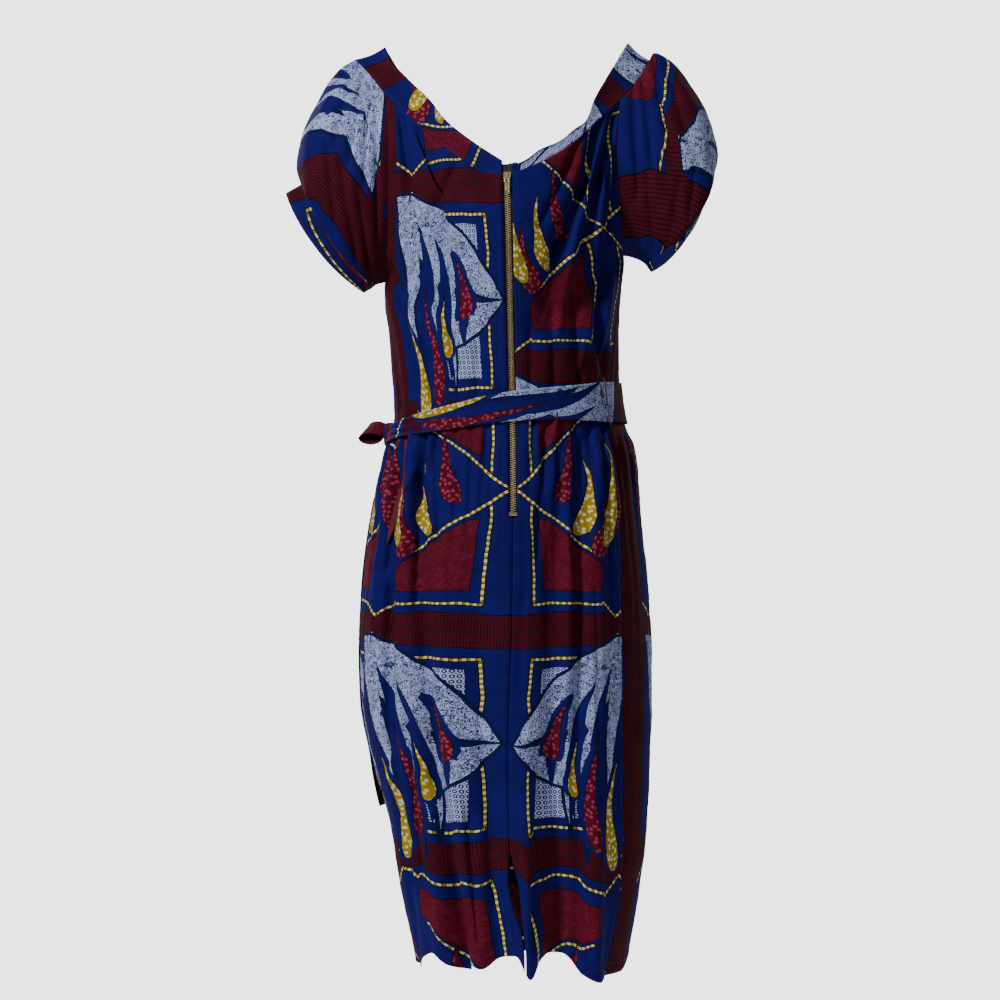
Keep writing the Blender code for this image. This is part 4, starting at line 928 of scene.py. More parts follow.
SLEEVE_CREASES = table(
    "x0 z0 x1 z1 deep half",
    (-0.182, -0.046, -0.196, -0.150, -0.0035, 0.0045),
    (-0.172, -0.060, -0.178, -0.180, -0.0040, 0.0045),
    (-0.164, -0.072, -0.162, -0.230, -0.0040, 0.0045),
    (-0.198, -0.050, -0.216, -0.130, -0.0030, 0.0045),
    (-0.206, -0.170, -0.190, -0.270, -0.0030, 0.0055),
    (-0.226, -0.140, -0.216, -0.225, -0.0030, 0.0050),
    (-0.186, -0.190, -0.172, -0.290, -0.0030, 0.0050),
    (0.190, -0.030, 0.200, -0.110, -0.0030, 0.0050),
    (0.174, -0.050, 0.182, -0.150, -0.0035, 0.0045),
    (0.160, -0.070, 0.164, -0.190, -0.0040, 0.0045),
    (0.206, -0.040, 0.226, -0.120, -0.0028, 0.0050),
    (0.216, -0.190, 0.204, -0.256, -0.0028, 0.0055),
    (0.238, -0.160, 0.230, -0.225, -0.0026, 0.0050),
    (0.178, -0.190, 0.184, -0.262, -0.0030, 0.0050),
)
BACK_CREASES = table(
    "x0 z0 x1 z1 deep half",
    (-0.118, -0.150, -0.070, -0.260, -0.0022, 0.0070),
    (-0.130, -0.220, -0.100, -0.330, -0.0020, 0.0060),
    (0.118, -0.160, 0.076, -0.270, -0.0022, 0.0070),
    (0.132, -0.230, 0.104, -0.345, -0.0018, 0.0060),
    (-0.060, -0.370, -0.052, -0.450, -0.0016, 0.0055),
    (-0.020, -0.350, -0.024, -0.450, 0.0014, 0.0060),
    (0.026, -0.365, 0.022, -0.450, -0.0016, 0.0055),
    (0.070, -0.360, 0.064, -0.450, -0.0018, 0.0060),
    (-0.120, -0.500, -0.134, -0.680, -0.0026, 0.0060),
    (-0.070, -0.498, -0.078, -0.640, -0.0020, 0.0055),
    (-0.030, -0.496, -0.026, -0.590, -0.0016, 0.0050),
    (0.036, -0.494, 0.040, -0.620, -0.0018, 0.0050),
    (0.084, -0.494, 0.092, -0.700, -0.0026, 0.0060),
    (0.118, -0.500, 0.124, -0.640, -0.0022, 0.0055),
    (-0.090, -0.820, -0.070, -1.060, -0.0028, 0.0090),
    (0.030, -0.880, 0.014, -1.110, -0.0024, 0.0085),
    (0.104, -0.800, 0.096, -1.050, -0.0028, 0.0090),
)
CREASE_FADE = 0.018  # how far past its ends a crease dies away
CREASE_SOFT = 0.72  # shares of a crease's depth in its soft hollow and in its narrow one
CREASE_SHARP = 0.36
SHARPER = 2.6  # how many times narrower the narrow one is
CREASE_FULL = 2.6  # times the depths above
SLEEVE_FULL = 1.2
SLEEVE_BACK = 0.8  # how much of a sleeve's creases show at its back


def crease_depth(points, rows, facing, full=CREASE_FULL):
    """How far the creases of a table move the cloth out, on the side that a facing of 1 shows."""
    depth = np.zeros(points.shape[:-1])
    x, z = points[..., 0], points[..., 2]
    for x0, z0, x1, z1, deep, half in zip(*rows.values()):
        run, rise = x1 - x0, z1 - z0
        long = math.hypot(run, rise)
        share = ((x - x0) * run + (z - z0) * rise) / long**2
        beside = ((x - x0) * rise - (z - z0) * run) / long
        beyond = np.maximum(np.maximum(-share, share - 1), 0) * long
        fade = np.exp(-((beyond / CREASE_FADE) ** 2))
        soft = np.exp(-((beside / half) ** 2))
        sharp = np.exp(-((SHARPER * beside / half) ** 2))
        depth += deep * fade * (CREASE_SOFT * soft + CREASE_SHARP * sharp)
    return full * depth * facing


def ripple(points):
    """The small soft unevenness of worn cotton: a few crossed waves, long to short, whose wave
    numbers are in radians a metre and whose heights are in metres."""
    x, y, z = (points[..., k] for k in range(3))
    low = np.sin(61 * x + 23 * z + 1.3) * np.sin(47 * z - 31 * y + 0.4)
    middle = np.sin(139 * x - 67 * z + 2.1 + 1.5 * low) * np.sin(97 * y + 83 * z + 0.9)
    fine = np.sin(251 * x + 171 * z + middle) * np.sin(229 * z - 187 * y + 2 * low)
    return 0.00050 * low + 0.00035 * middle + 0.00020 * fine


def dress_axis(points):
    """The middle line of the dress, level with each point."""
    return points * np.array([0, 0, 1.0])


def grid_normals(points, centre):
    """The unit normals of a grid of points, turned away from its centre line."""
    normal = np.cross(np.gradient(points, axis=1), np.gradient(points, axis=0))
    normal /= np.maximum(np.linalg.norm(normal, axis=-1), 1e-12)[..., None]
    away = np.sum(normal * (points - centre(points)), axis=-1)
    return normal if away.mean() > 0 else -normal


def facing_share(out, side):
    """How far cloth faces the front, for side -1, or the back, for side 1: from 0 to 1."""
    return np.clip(AT_SIDE + side * FACING_GAIN * out[..., 1], 0, 1)


def calm_by_zip(points):
    """How freely a front's cloth may crease: not at all where it is sewn to the zip's tapes."""
    beside = np.abs(points[..., 0] - read(FRONT_LINE, "x", points[..., 2]))
    below = ramp(ZIP_END_Z - points[..., 2], 0.0, BELOW_ZIP)
    return np.maximum(ramp(beside, *BESIDE_ZIP), BELOW_ZIP_FREE * below)


def new_object(name, data):
    """An object made from its data and put in the scene."""
    made = bpy.data.objects.new(name, data)
    bpy.context.scene.collection.objects.link(made)
    return made


LAID = {}  # each piece's finished grid of points and its normals, for what is sewn on it


def cloth_piece(name, surface, size, lay, finishes, relief=None, centre=dress_axis, closed=False,
                step=STEP, wall=WALL, grain="even", gap=None, calm=None):
    """A piece of cloth: a fine grid on a surface, with relief, thickness and its place in the
    print. The size is how wide and long it lies in the print; lay is where in the print it is
    cut: (across, down, turn in degrees, 1 or -1 for a surface that runs down or up). Its grain
    runs evenly, or level with the ground, or by the cloth's own length from its first edge.
    A gap is how far its first side lies from where the print's middle would be, by level, and
    calm is how far it may crease, by place."""
    columns, rows = (max(2, round(length / step)) for length in size)
    share_u, share_v = np.meshgrid(np.linspace(0, 1, columns + 1), np.linspace(0, 1, rows + 1))
    points = surface(share_u.ravel(), share_v.ravel()).reshape(rows + 1, columns + 1, 3)
    out = grid_normals(points, centre)
    depth = ripple(points)
    if relief is not None:
        depth = depth + relief(points, out, share_u, share_v)
    if calm is not None:
        depth = depth * calm(points)
    edge = np.clip(np.minimum(share_v, 1 - share_v) * size[1] / SEWN_EDGE, 0, 1)
    if not closed:
        edge *= np.clip(np.minimum(share_u, 1 - share_u) * size[0] / SEWN_EDGE, 0, 1)
    level = points
    points = points + out * (depth * edge)[..., None]
    LAID[name] = points, grid_normals(points, centre)
    index = np.arange(points[..., 0].size).reshape(rows + 1, columns + 1)

    def corners_of(grid):
        around = (grid[:-1, :-1], grid[:-1, 1:], grid[1:, 1:], grid[1:, :-1])
        return np.stack(around, axis=-1).reshape(-1, 4)

    length = share_v * size[1]
    if grain == "level":
        length = level[..., 2] - WAIST_Z
    if grain == "length":
        steps = np.linalg.norm(np.diff(points, axis=0), axis=-1)
        length = np.concatenate([0 * share_v[:1], np.cumsum(steps, axis=0)])
    start = 0.0 if gap is None else gap(level[..., 2])
    flat = np.stack([start + share_u * (size[0] - start), length * lay[3]], axis=-1)
    turn = math.radians(lay[2])
    spin = np.array([[math.cos(turn), math.sin(turn)], [-math.sin(turn), math.cos(turn)]])
    flat = (flat @ spin + np.array(lay[:2])).reshape(-1, 2)[corners_of(index)]
    if closed:
        index[:, -1] = index[:, 0]
    corners = corners_of(index)
    places = points.reshape(-1, 3)
    a, b, d = (places[corners[:, k]] for k in (0, 1, 3))
    if np.sum(np.cross(b - a, d - a) * out[:-1, :-1].reshape(-1, 3)) < 0:
        corners, flat = corners[:, ::-1], flat[:, ::-1]
    used, corners = np.unique(corners, return_inverse=True)
    mesh = bpy.data.meshes.new(name + "_cloth")
    mesh.from_pydata(places[used], [], corners.reshape(-1, 4).tolist())
    mesh.uv_layers.new(name="cloth").data.foreach_set("uv", flat.ravel())
    for finish in finishes:
        mesh.materials.append(finish)
    mesh.shade_smooth()
    piece = new_object(name + "_cloth", mesh)
    solid = piece.modifiers.new("wall", "SOLIDIFY")
    solid.thickness = wall
    solid.offset = 0.0
    solid.material_offset = len(finishes) - 1
    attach(piece, "dress")
    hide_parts(name)
    return piece


# ---- Materials ----


def shade(code):
    """An sRGB hex colour as linear red, green, blue and alpha."""
    parts = [int(code[i : i + 2], 16) / 255 for i in (1, 3, 5)]
    return (*(c / 12.92 if c < 0.04045 else ((c + 0.055) / 1.055) ** 2.4 for c in parts), 1.0)


def add(tree, kind, *inputs, **settings):
    """Adds a shader node. Inputs fill its shown sockets in order; a setting fills the socket of
    that name, or else is a property of the node. A node stands for its first shown output."""
    node = tree.nodes.new("ShaderNode" + kind)
    for key, value in settings.items():
        if key not in node.inputs:
            setattr(node, key, value)
    shown = [socket for socket in node.inputs if socket.enabled]
    named = [(node.inputs[key], v) for key, v in settings.items() if key in node.inputs]
    for socket, value in list(zip(shown, inputs)) + named:
        if isinstance(value, bpy.types.Node):
            value = next(s for s in value.outputs if s.enabled)
        if isinstance(value, bpy.types.NodeSocket):
            tree.links.new(value, socket)
        elif value is not None:
            socket.default_value = value
    return node


def new_material(name, **values):
    """A material with its shader's own values set; returns it, its node tree and its shader."""
    made = bpy.data.materials.new(name)
    made.use_nodes = True
    shader = made.node_tree.nodes["Principled BSDF"]
    for key, value in values.items():
        shader.inputs[key.replace("_", " ")].default_value = value
    return made, made.node_tree, shader


def wire(tree, shader, **nodes):
    """Links each node's first shown output to the shader's socket of that name."""
    for key, node in nodes.items():
        output = next(socket for socket in node.outputs if socket.enabled)
        tree.links.new(output, shader.inputs[key.replace("_", " ")])


def off(tree, value, middle):
    """How far a value is from a middle one."""
    away = add(tree, "Math", value, middle, operation="SUBTRACT")
    return add(tree, "Math", away, operation="ABSOLUTE")


# Half the print's repeat, across and down, in metres. Each half is mirrored in the next, but leaves
# and drops are never upside down. A kite's middle is at 0 down the print, a fan's at half a repeat.
HALF_ACROSS = 0.205
HALF_DOWN = 0.320
LINE_HALF = 0.0015  # half the width of a beaded line
LINE_BORDER = 0.0013  # the black on each side of a line
OUTLINE = 0.0011  # width of the dark outline round every shape
TIP = 0.0016  # so much is taken off a leaf's half width, so that its tips are closed
BEAD = 0.0075  # one bead and its gap

# Outlines: how wide a shape is, as a share of its half width, at shares of its length.
DROP = ((0, 0), (0.3, 0.30), (0.6, 0.62), (0.84, 1), (0.95, 0.8), (1, 0))
LEAF = ((0, 0), (0.2, 0.5), (0.5, 1), (0.78, 0.72), (1, 0))
FIN = ((0, 0), (0.06, 0.7), (0.25, 1), (0.6, 0.62), (1, 0))
# Leaves and drops: outline, foot across and down, turn in degrees, length, half width, bend.
FAN_LEAVES = (
    (LEAF, 0.003, 0.321, -37.0, 0.220, 0.034, 0.004),
    (LEAF, 0.003, 0.320, 32.0, 0.120, 0.019, -0.006),
    (FIN, 0.172, 0.196, 98.0, 0.225, 0.0115, 0.012),
    (FIN, 0.143, 0.212, 99.0, 0.255, 0.0115, 0.016),
    (FIN, 0.112, 0.236, 98.0, 0.205, 0.0115, 0.014),
)
# Clefts of the blue ground that run up between a fan's leaves.
FAN_CLEFTS = (
    (LEAF, 0.148, 0.214, 99.0, 0.190, 0.0070, 0.014),
    (LEAF, 0.119, 0.232, 99.0, 0.190, 0.0075, 0.014),
    (LEAF, 0.088, 0.252, 102.0, 0.130, 0.0075, 0.010),
)
FAN_CRIMSON = (
    (DROP, 0.134, 0.285, 96.0, 0.165, 0.0100, 0.016),
    (DROP, 0.082, 0.262, 106.0, 0.082, 0.0105, 0.008),
)
FAN_MUSTARD = (
    (DROP, 0.164, 0.320, 97.0, 0.150, 0.0105, 0.014),
    (DROP, 0.102, 0.300, 98.0, 0.092, 0.0065, 0.006),
)
KITE_CRIMSON = (
    (DROP, 0.090, -0.085, 104.0, 0.108, 0.0125, -0.012),
    (DROP, 0.136, -0.010, 100.0, 0.098, 0.0120, -0.008),
    (DROP, 0.176, -0.110, 98.0, 0.165, 0.0110, -0.010),
)
KITE_MUSTARD = (
    (DROP, 0.114, -0.048, 99.0, 0.110, 0.0115, -0.010),
    (DROP, 0.156, -0.075, 98.0, 0.150, 0.0105, -0.010),
)
# Beaded lines by the way that they run, in degrees, so that their beads lie square to them. Each
# is a bar: its middle across and down, and its half length.
BEADED_LINES = (
    (90.0, ((0.0255, 0.0830, 0.0625), (0.0255, 0.2600, 0.0480))),
    (0.0, ((0.0780, 0.1455, 0.0525), (0.0745, 0.2120, 0.0490))),
    (36.0, ((0.0610, 0.0420, 0.0740), (0.1440, 0.1530, 0.0170))),
    (-33.0, ((0.1690, 0.1540, 0.0160), (0.1440, 0.1960, 0.0200))),
)

# Bands of crimson check: one across at a level, so wide to each side, and one along the sides of
# the repeat. A ringed panel and a crimson block are bars: middle across and down, turn and half
# sizes. The block's corner is cut off square to a direction.
BAND_LEVEL = 0.178
BAND_HALF = 0.0200
SIDE_BAND = 0.184
RINGED_PANEL = (0.0760, 0.2600, 0.0, 0.0360, 0.0360)
CRIMSON_BLOCK = (0.0820, 0.0840, 0.0, 0.0430, 0.0440)
BLOCK_CORNER = (0.568, -0.823, 0.0)
BLOCK_CUT = 0.0070
LEAF_RIM = 0.0045  # the dark blue round a fan's leaves, and the blue round drops that lie on them
DROP_RIM = 0.0075
WEAVE = 4488.0  # radians a metre
INK = shade("#08060c")
RIM_BLUE = shade("#071243")


def bar(tree, at, across, down, turn, half_long, half_wide):
    """How far a place is outside a bar."""
    local = add(tree, "Mapping", at, Location=(across, down, 0),
                Rotation=(0, 0, math.radians(turn)), vector_type="TEXTURE")
    beyond = add(tree, "VectorMath", local, operation="ABSOLUTE")
    beyond = add(tree, "VectorMath", beyond, (half_long, half_wide, 0), operation="SUBTRACT")
    parts = add(tree, "SeparateXYZ", beyond)
    return add(tree, "Math", parts.outputs[0], parts.outputs[1], operation="MAXIMUM")


def leaf(tree, at, outline, across, down, turn, long, half, bend):
    """How far a place is beside a bent leaf or drop that grows from its foot."""
    local = add(tree, "Mapping", at, Location=(across, down, 0),
                Rotation=(0, 0, math.radians(turn)), Scale=(long, 1, 1), vector_type="TEXTURE")
    parts = add(tree, "SeparateXYZ", local)
    along, beside = parts.outputs[0], parts.outputs[1]
    rest = add(tree, "Math", 1.0, along, operation="SUBTRACT")
    arch = add(tree, "Math", along, rest, operation="MULTIPLY")
    beside = add(tree, "Math", arch, -4 * bend, beside, operation="MULTIPLY_ADD")
    beside = add(tree, "Math", beside, operation="ABSOLUTE")
    profile = add(tree, "FloatCurve", Value=along)
    profile.mapping.extend = "HORIZONTAL"
    curve = profile.mapping.curves[0]
    for place in outline[1:-1]:
        curve.points.new(*place)
    for point, place in zip(curve.points, outline):
        point.location = place
    profile.mapping.update()
    width = add(tree, "Math", profile, -half - TIP, TIP, operation="MULTIPLY_ADD")
    beside = add(tree, "Math", width, beside, operation="ADD")
    past = add(tree, "Math", off(tree, along, 0.5), 0.5, operation="SUBTRACT", use_clamp=True)
    return add(tree, "Math", past, long, beside, operation="MULTIPLY_ADD")


def nearest(tree, distances):
    """The least of several distances."""
    least = distances[0]
    for distance in distances[1:]:
        least = add(tree, "Math", least, distance, operation="MINIMUM")
    return least


def paint(tree, below, colour, distance, reach=0.0):
    """Lays a colour over what is below, out to a reach round a shape."""
    inside = add(tree, "Math", distance, reach, operation="LESS_THAN")
    return add(tree, "Mix", inside, below, colour, data_type="RGBA")


def wax_print(name, colours, ground_depth):
    """Wax-printed cotton: plain-woven, dyed on both sides through a resist that leaves a fine
    crackle, so its shapes have dark outlines and its light grounds are veined. It is matt, with
    the low sheen of a starched finish. The colours are blue, crimson, white and mustard."""
    blue, crimson, white, mustard = (shade(code) for code in colours)
    made, tree, shader = new_material(name, Roughness=0.82, IOR=1.45, Specular_IOR_Level=0.14,
                                      Sheen_Weight=0.02, Sheen_Roughness=0.4)
    cloth_map = add(tree, "UVMap", uv_map="cloth")
    wander = add(tree, "TexNoise", cloth_map, Scale=11.0, Detail=2.0, noise_dimensions="2D")
    wander = add(tree, "VectorMath", wander.outputs["Color"], (-0.5, -0.5, -0.5))
    drawn = add(tree, "VectorMath", wander, (0.014, 0.014, 0.0), cloth_map,
                operation="MULTIPLY_ADD")
    parts = add(tree, "SeparateXYZ", drawn)
    across = add(tree, "Math", parts.outputs[0], HALF_ACROSS, operation="PINGPONG")
    mirrored = add(tree, "Math", parts.outputs[1], HALF_DOWN, operation="PINGPONG")
    from_kite = add(tree, "Math", parts.outputs[1], HALF_DOWN, -HALF_DOWN, operation="WRAP")
    from_top = add(tree, "Math", parts.outputs[1], 2 * HALF_DOWN, 0.0, operation="WRAP")
    both = add(tree, "CombineXYZ", across, mirrored)
    kite = add(tree, "CombineXYZ", across, from_kite)
    fan = add(tree, "CombineXYZ", across, from_top)

    # Fine fillings. Real veins are 0.3 to 0.6 mm wide and are drawn at twice that, and the
    # real rings are 5.3 mm apart and are drawn 6.5 mm apart, to show.
    veins = add(tree, "TexNoise", cloth_map, Scale=300.0, Detail=1.0, Distortion=1.6,
                noise_dimensions="2D")
    crackle = paint(tree, white, shade("#10195a"), off(tree, veins, 0.5), 0.075)
    on_crimson = add(tree, "Math", veins, 0.57, operation="GREATER_THAN")
    block_fill = add(tree, "Mix", add(tree, "Math", on_crimson, 0.35, operation="MULTIPLY"),
                     crimson, shade("#8a2742"), data_type="RGBA")
    rings = add(tree, "TexVoronoi", cloth_map, Scale=154.0, Randomness=0.06,
                voronoi_dimensions="2D")
    ring = add(tree, "Math", off(tree, rings, 0.29), 0.11, operation="LESS_THAN")
    speck = add(tree, "Math", rings, 0.60, operation="GREATER_THAN")
    ring = add(tree, "Math", ring, speck, operation="MAXIMUM")
    ring_fill = add(tree, "Mix", ring, white, shade("#141c58"), data_type="RGBA")
    check = add(tree, "TexVoronoi", cloth_map, Scale=330.0, Randomness=0.0,
                voronoi_dimensions="2D", distance="CHEBYCHEV")
    band_fill = paint(tree, shade("#1e0510"), crimson, check, 0.36)
    dots = add(tree, "TexVoronoi", cloth_map, Scale=150.0, Randomness=0.8,
               voronoi_dimensions="2D")
    mustard_fill = paint(tree, mustard, shade("#ddd6a6"), dots, 0.30)
    crimson_fill = paint(tree, crimson, shade("#993550"), dots, 0.30)

    # Shapes, from the ground up.
    level = add(tree, "SeparateXYZ", both)
    band = off(tree, level.outputs[1], BAND_LEVEL)
    band = add(tree, "Math", band, BAND_HALF, operation="SUBTRACT")
    side_band = add(tree, "Math", SIDE_BAND, level.outputs[0], operation="SUBTRACT")
    bands = add(tree, "Math", band, side_band, operation="MINIMUM")
    colour = paint(tree, blue, INK, bands, OUTLINE)
    colour = paint(tree, colour, band_fill, bands)
    colour = paint(tree, colour, ring_fill, bar(tree, both, *RINGED_PANEL))
    for turn, rows in BEADED_LINES:
        way = (math.cos(math.radians(turn)) / BEAD, math.sin(math.radians(turn)) / BEAD, 0.0)
        phase = add(tree, "VectorMath", both, way, operation="DOT_PRODUCT")
        phase = add(tree, "Math", phase, operation="FRACT")
        line_fill = paint(tree, mustard, shade("#ded9ae"), phase, 0.50)
        line_fill = paint(tree, INK, line_fill, phase, 0.88)
        lines = nearest(tree, [bar(tree, both, x, y, turn, half, LINE_HALF)
                               for x, y, half in rows])
        colour = paint(tree, colour, INK, lines, LINE_BORDER)
        colour = paint(tree, colour, line_fill, lines)
    for where, rows, fill, rims in (
        (fan, FAN_LEAVES, crackle, ((RIM_BLUE, LEAF_RIM),)),
        (fan, FAN_CLEFTS, blue, ((RIM_BLUE, OUTLINE),)),
        (fan, FAN_CRIMSON, crimson_fill, ((blue, DROP_RIM), (INK, OUTLINE))),
        (fan, FAN_MUSTARD, mustard_fill, ((blue, DROP_RIM), (INK, OUTLINE))),
        (kite, KITE_CRIMSON, crimson_fill, ((INK, OUTLINE),)),
        (kite, KITE_MUSTARD, mustard_fill, ((INK, OUTLINE),)),
    ):
        shapes = nearest(tree, [leaf(tree, where, *row) for row in rows])
        for rim, reach in rims:
            colour = paint(tree, colour, rim, shapes, reach)
        colour = paint(tree, colour, fill, shapes)
    block = bar(tree, both, *CRIMSON_BLOCK)
    corner = add(tree, "VectorMath", both, BLOCK_CORNER, operation="DOT_PRODUCT")
    corner = add(tree, "Math", corner, BLOCK_CUT)
    block = add(tree, "Math", block, corner, operation="MAXIMUM")
    colour = paint(tree, colour, INK, block, OUTLINE)
    colour = paint(tree, colour, block_fill, block)

    # Uneven dye, then the weave: threads are 0.4 mm apart and are drawn 0.7 mm apart, to show.
    dye = add(tree, "TexNoise", cloth_map, Scale=38.0, Detail=4.0, noise_dimensions="2D")
    dye = add(tree, "MapRange", dye, 0.3, 0.7, ground_depth[0], ground_depth[1])
    colour = add(tree, "VectorMath", colour, operation="SCALE", Scale=dye)
    flat = add(tree, "SeparateXYZ", cloth_map)
    weft, warp = (
        add(tree, "Math", add(tree, "Math", flat.outputs[k], WEAVE, operation="MULTIPLY"),
            operation="SINE")
        for k in (0, 1)
    )
    weave = add(tree, "Math", weft, warp, operation="MULTIPLY")
    crumple = add(tree, "TexNoise", cloth_map, Scale=70.0, Detail=3.0, noise_dimensions="2D")
    height = add(tree, "Math", weave, 0.06, crumple, operation="MULTIPLY_ADD")
    bump = add(tree, "Bump", Height=height, Strength=0.35, Distance=0.0012)
    wire(tree, shader, Base_Color=colour, Normal=bump)
    return made


PRINT = wax_print("wax_printed_cotton", ("#120c60", "#560720", "#b8c4f2", "#a08718"), (0.82, 1.12))
# The wrong side, where the dye has gone through less evenly and the ground looks browner. Its
# colours are also about half as bright as the print's, as painted shade for the dress's inside.
SHADED_WRONG_SIDE = wax_print("wax_printed_cotton_wrong_side_painted_shade",
                       ("#0f1530", "#33121a", "#6c6a62", "#524819"), (0.75, 1.05))

# Pocket bags: thin plain-woven cotton of the dress's crimson, unfinished and quite matt.
POCKET, tree, shader = new_material("plain_cotton_pocket", Roughness=0.88, IOR=1.45)
at = add(tree, "UVMap", uv_map="cloth")
cloudy = add(tree, "TexNoise", at, Scale=60.0, Detail=4.0, noise_dimensions="2D")
tint = add(tree, "Mix", cloudy, shade("#4c0f20"), shade("#74182f"), data_type="RGBA")
bump = add(tree, "Bump", Height=cloudy, Strength=0.3, Distance=0.0005)
wire(tree, shader, Base_Color=tint, Normal=bump)

# Zip tape: polyester in a herringbone weave 1.5 mm wide, nearly black, with a slight gleam. Its
# ribs are 0.5 mm apart and are drawn 1.1 mm apart, to show. Its colour has painted shade in the
# ribs' grooves and painted light on their crests.
TAPE, tree, shader = new_material("woven_polyester_tape", Roughness=0.62, IOR=1.5)
at = add(tree, "UVMap", uv_map="cloth")
parts = add(tree, "SeparateXYZ", at)
zigzag = add(tree, "Math", parts.outputs[0], 0.0015, operation="PINGPONG")
slanted = add(tree, "Math", parts.outputs[1], zigzag)
ribs = add(tree, "Math", add(tree, "Math", slanted, 5700.0, operation="MULTIPLY"),
           operation="SINE")
# Painted shade and light on the ribs: darker in their grooves, lighter on their crests.
tint = add(tree, "Mix", add(tree, "MapRange", ribs, -1.0, 1.0, 0.0, 1.0), shade("#140f16"),
           shade("#2b2228"), data_type="RGBA")
bump = add(tree, "Bump", Height=ribs, Strength=0.4, Distance=0.0003)
wire(tree, shader, Base_Color=tint, Normal=bump)


def thread(name, low, high):
    """Sewing thread: spun polyester, matt with a soft sheen. Its twist crosses it every 0.6 mm
    and is drawn as bands of two tones that are 2.4 mm apart, to show: the darker tone is painted
    shade between its plies, the lighter one painted light on them."""
    made, tree, shader = new_material(name, Roughness=0.6, IOR=1.5, Sheen_Weight=0.2)
    at = add(tree, "TexCoord").outputs["Object"]
    twist = add(tree, "TexWave", at, Scale=260.0, bands_direction="DIAGONAL")
    # The twist's two tones: painted shade between the plies and painted light on them.
    tint = add(tree, "Mix", twist, shade(low), shade(high), data_type="RGBA")
    wire(tree, shader, Base_Color=tint)
    return made


THREAD = thread("spun_polyester_thread", "#2a0a14", "#5a1426")
NAVY_THREAD = thread("spun_polyester_thread_navy", "#0a1130", "#16245e")

# Zip brass: stamped and tumbled, bright and pale, a little browned where it has tarnished.
BRASS, tree, shader = new_material("tumbled_brass", Metallic=0.8, Roughness=0.26)
at = add(tree, "TexCoord").outputs["Object"]
tarnish = add(tree, "TexNoise", at, Scale=420.0, Detail=4.0)
tint = add(tree, "Mix", add(tree, "MapRange", tarnish, 0.35, 0.7, 0.0, 1.0), shade("#fff0c8"),
           shade("#c9a76c"), data_type="RGBA")
rough = add(tree, "MapRange", tarnish, 0.3, 0.7, 0.14, 0.30)
bump = add(tree, "Bump", Height=tarnish, Strength=0.12, Distance=0.0002)
wire(tree, shader, Base_Color=tint, Roughness=rough, Normal=bump)

BOTH_SIDES = (PRINT, SHADED_WRONG_SIDE)


# ---- The dress's pieces ----

KITE_Z = -0.567  # the level of a kite's middle on the skirt
EVEN_SHARES = np.linspace(0, 1, len(SKIRT_LEVELS))
SKIRT_LONG = 0.69

# Gathers at the back's waist: width, height, and the wave length along the cloth.
BACK_GATHERS = (0.44, 0.0014, 0.021)
BACK_GATHER_LONG = 0.22  # shares of the back's height: where they fade, and take to start
BACK_GATHER_START = 0.05
# Gathers that the waist seam holds in the skirt, as waves round the body: share of the height,
# wave length, and how far they swing, at which wave number, from what start; and their slant.
WAIST_GATHERS = (
    (1.0, 0.0190, 1.7, 31, 0.0, 6),
    (0.6, 0.0115, 2.1, 23, 1.0, 0),
    (0.5, 0.0071, 1.3, 43, 2.0, 0),
)
GATHER_HIGH = 0.0024
GATHER_CLEAR = 0.02  # below the waist, where they start; they take as far again to grow
GATHER_FADE = 0.12


def bodice_relief(points, out, across, along):
    return crease_depth(points, BODICE_CREASES, facing_share(out, -1))


def bodice_back_relief(points, out, across, along):
    gather = np.exp(-((along / BACK_GATHER_LONG) ** 2)) * np.clip(along / BACK_GATHER_START, 0, 1)
    wide, high, wave = BACK_GATHERS
    waves = np.sin(across * wide * 2 * math.pi / wave + 2 * np.sin(9 * across))
    return crease_depth(points, BACK_CREASES, facing_share(out, 1)) + high * gather * waves


def skirt_relief(points, out, across, along):
    """Creases, and the gathers that the waist seam holds."""
    depth = crease_depth(points, SKIRT_CREASES, facing_share(out, -1))
    depth += crease_depth(points, BACK_CREASES, facing_share(out, 1))
    down = WAIST_Z - GATHER_CLEAR - points[..., 2]
    gather = ramp(down, 0.0, GATHER_CLEAR) * np.exp(-np.clip(down / GATHER_FADE, 0, None))
    turn = np.arctan2(points[..., 0], -points[..., 1]) * BODY_RADIUS
    waves = np.zeros_like(turn)
    for share, wave, swing, number, start, slant in WAIST_GATHERS:
        sway = swing * np.sin(turn * number + start)
        waves += share * np.sin(turn * 2 * math.pi / wave + sway + down * slant)
    return depth + GATHER_HIGH * gather * waves


def sleeve_relief(points, out, across, along):
    shown = np.maximum(facing_share(out, -1), SLEEVE_BACK * facing_share(out, 1))
    return crease_depth(points, SLEEVE_CREASES, shown, full=SLEEVE_FULL)


def ring_middles(line):
    """The middle of a sleeve or cuff, ring by ring, for its grid of points."""

    def middle(points):
        places = line(np.linspace(0, 1, points.shape[0]))
        return np.broadcast_to(places[:, None, :], points.shape)

    return middle


def cuff_middle(side, share):
    """A place on the middle line of a cuff."""
    edge = CUFF_EDGE[side]
    first = sleeve_middle(side, np.ones(1))[0]
    across, up = (np.array(edge["over"]) + np.array(edge["under"])) / 2
    last = np.array([across, 0.0, up])
    return first * (1 - share)[:, None] + last * share[:, None]


SEWN = {}  # the stitches on each piece
SHEETS = []  # each cloth piece: its name, object, cut size, what holds it, what it rests on and its area


def dress_cloth(name, surface, size, lay, held, rests_on, relief=None, flat=None, area=None,
                slot="wax_print_blue", finishes=BOTH_SIDES, **more):
    """A piece of cloth, with what holds it and the size that it is cut to, where that isn't the
    size that it has in the print."""
    piece = cloth_piece(name, surface, size, lay, finishes, relief, **more)
    SHEETS.append((name, piece, flat or size, held, rests_on, area))
    return piece


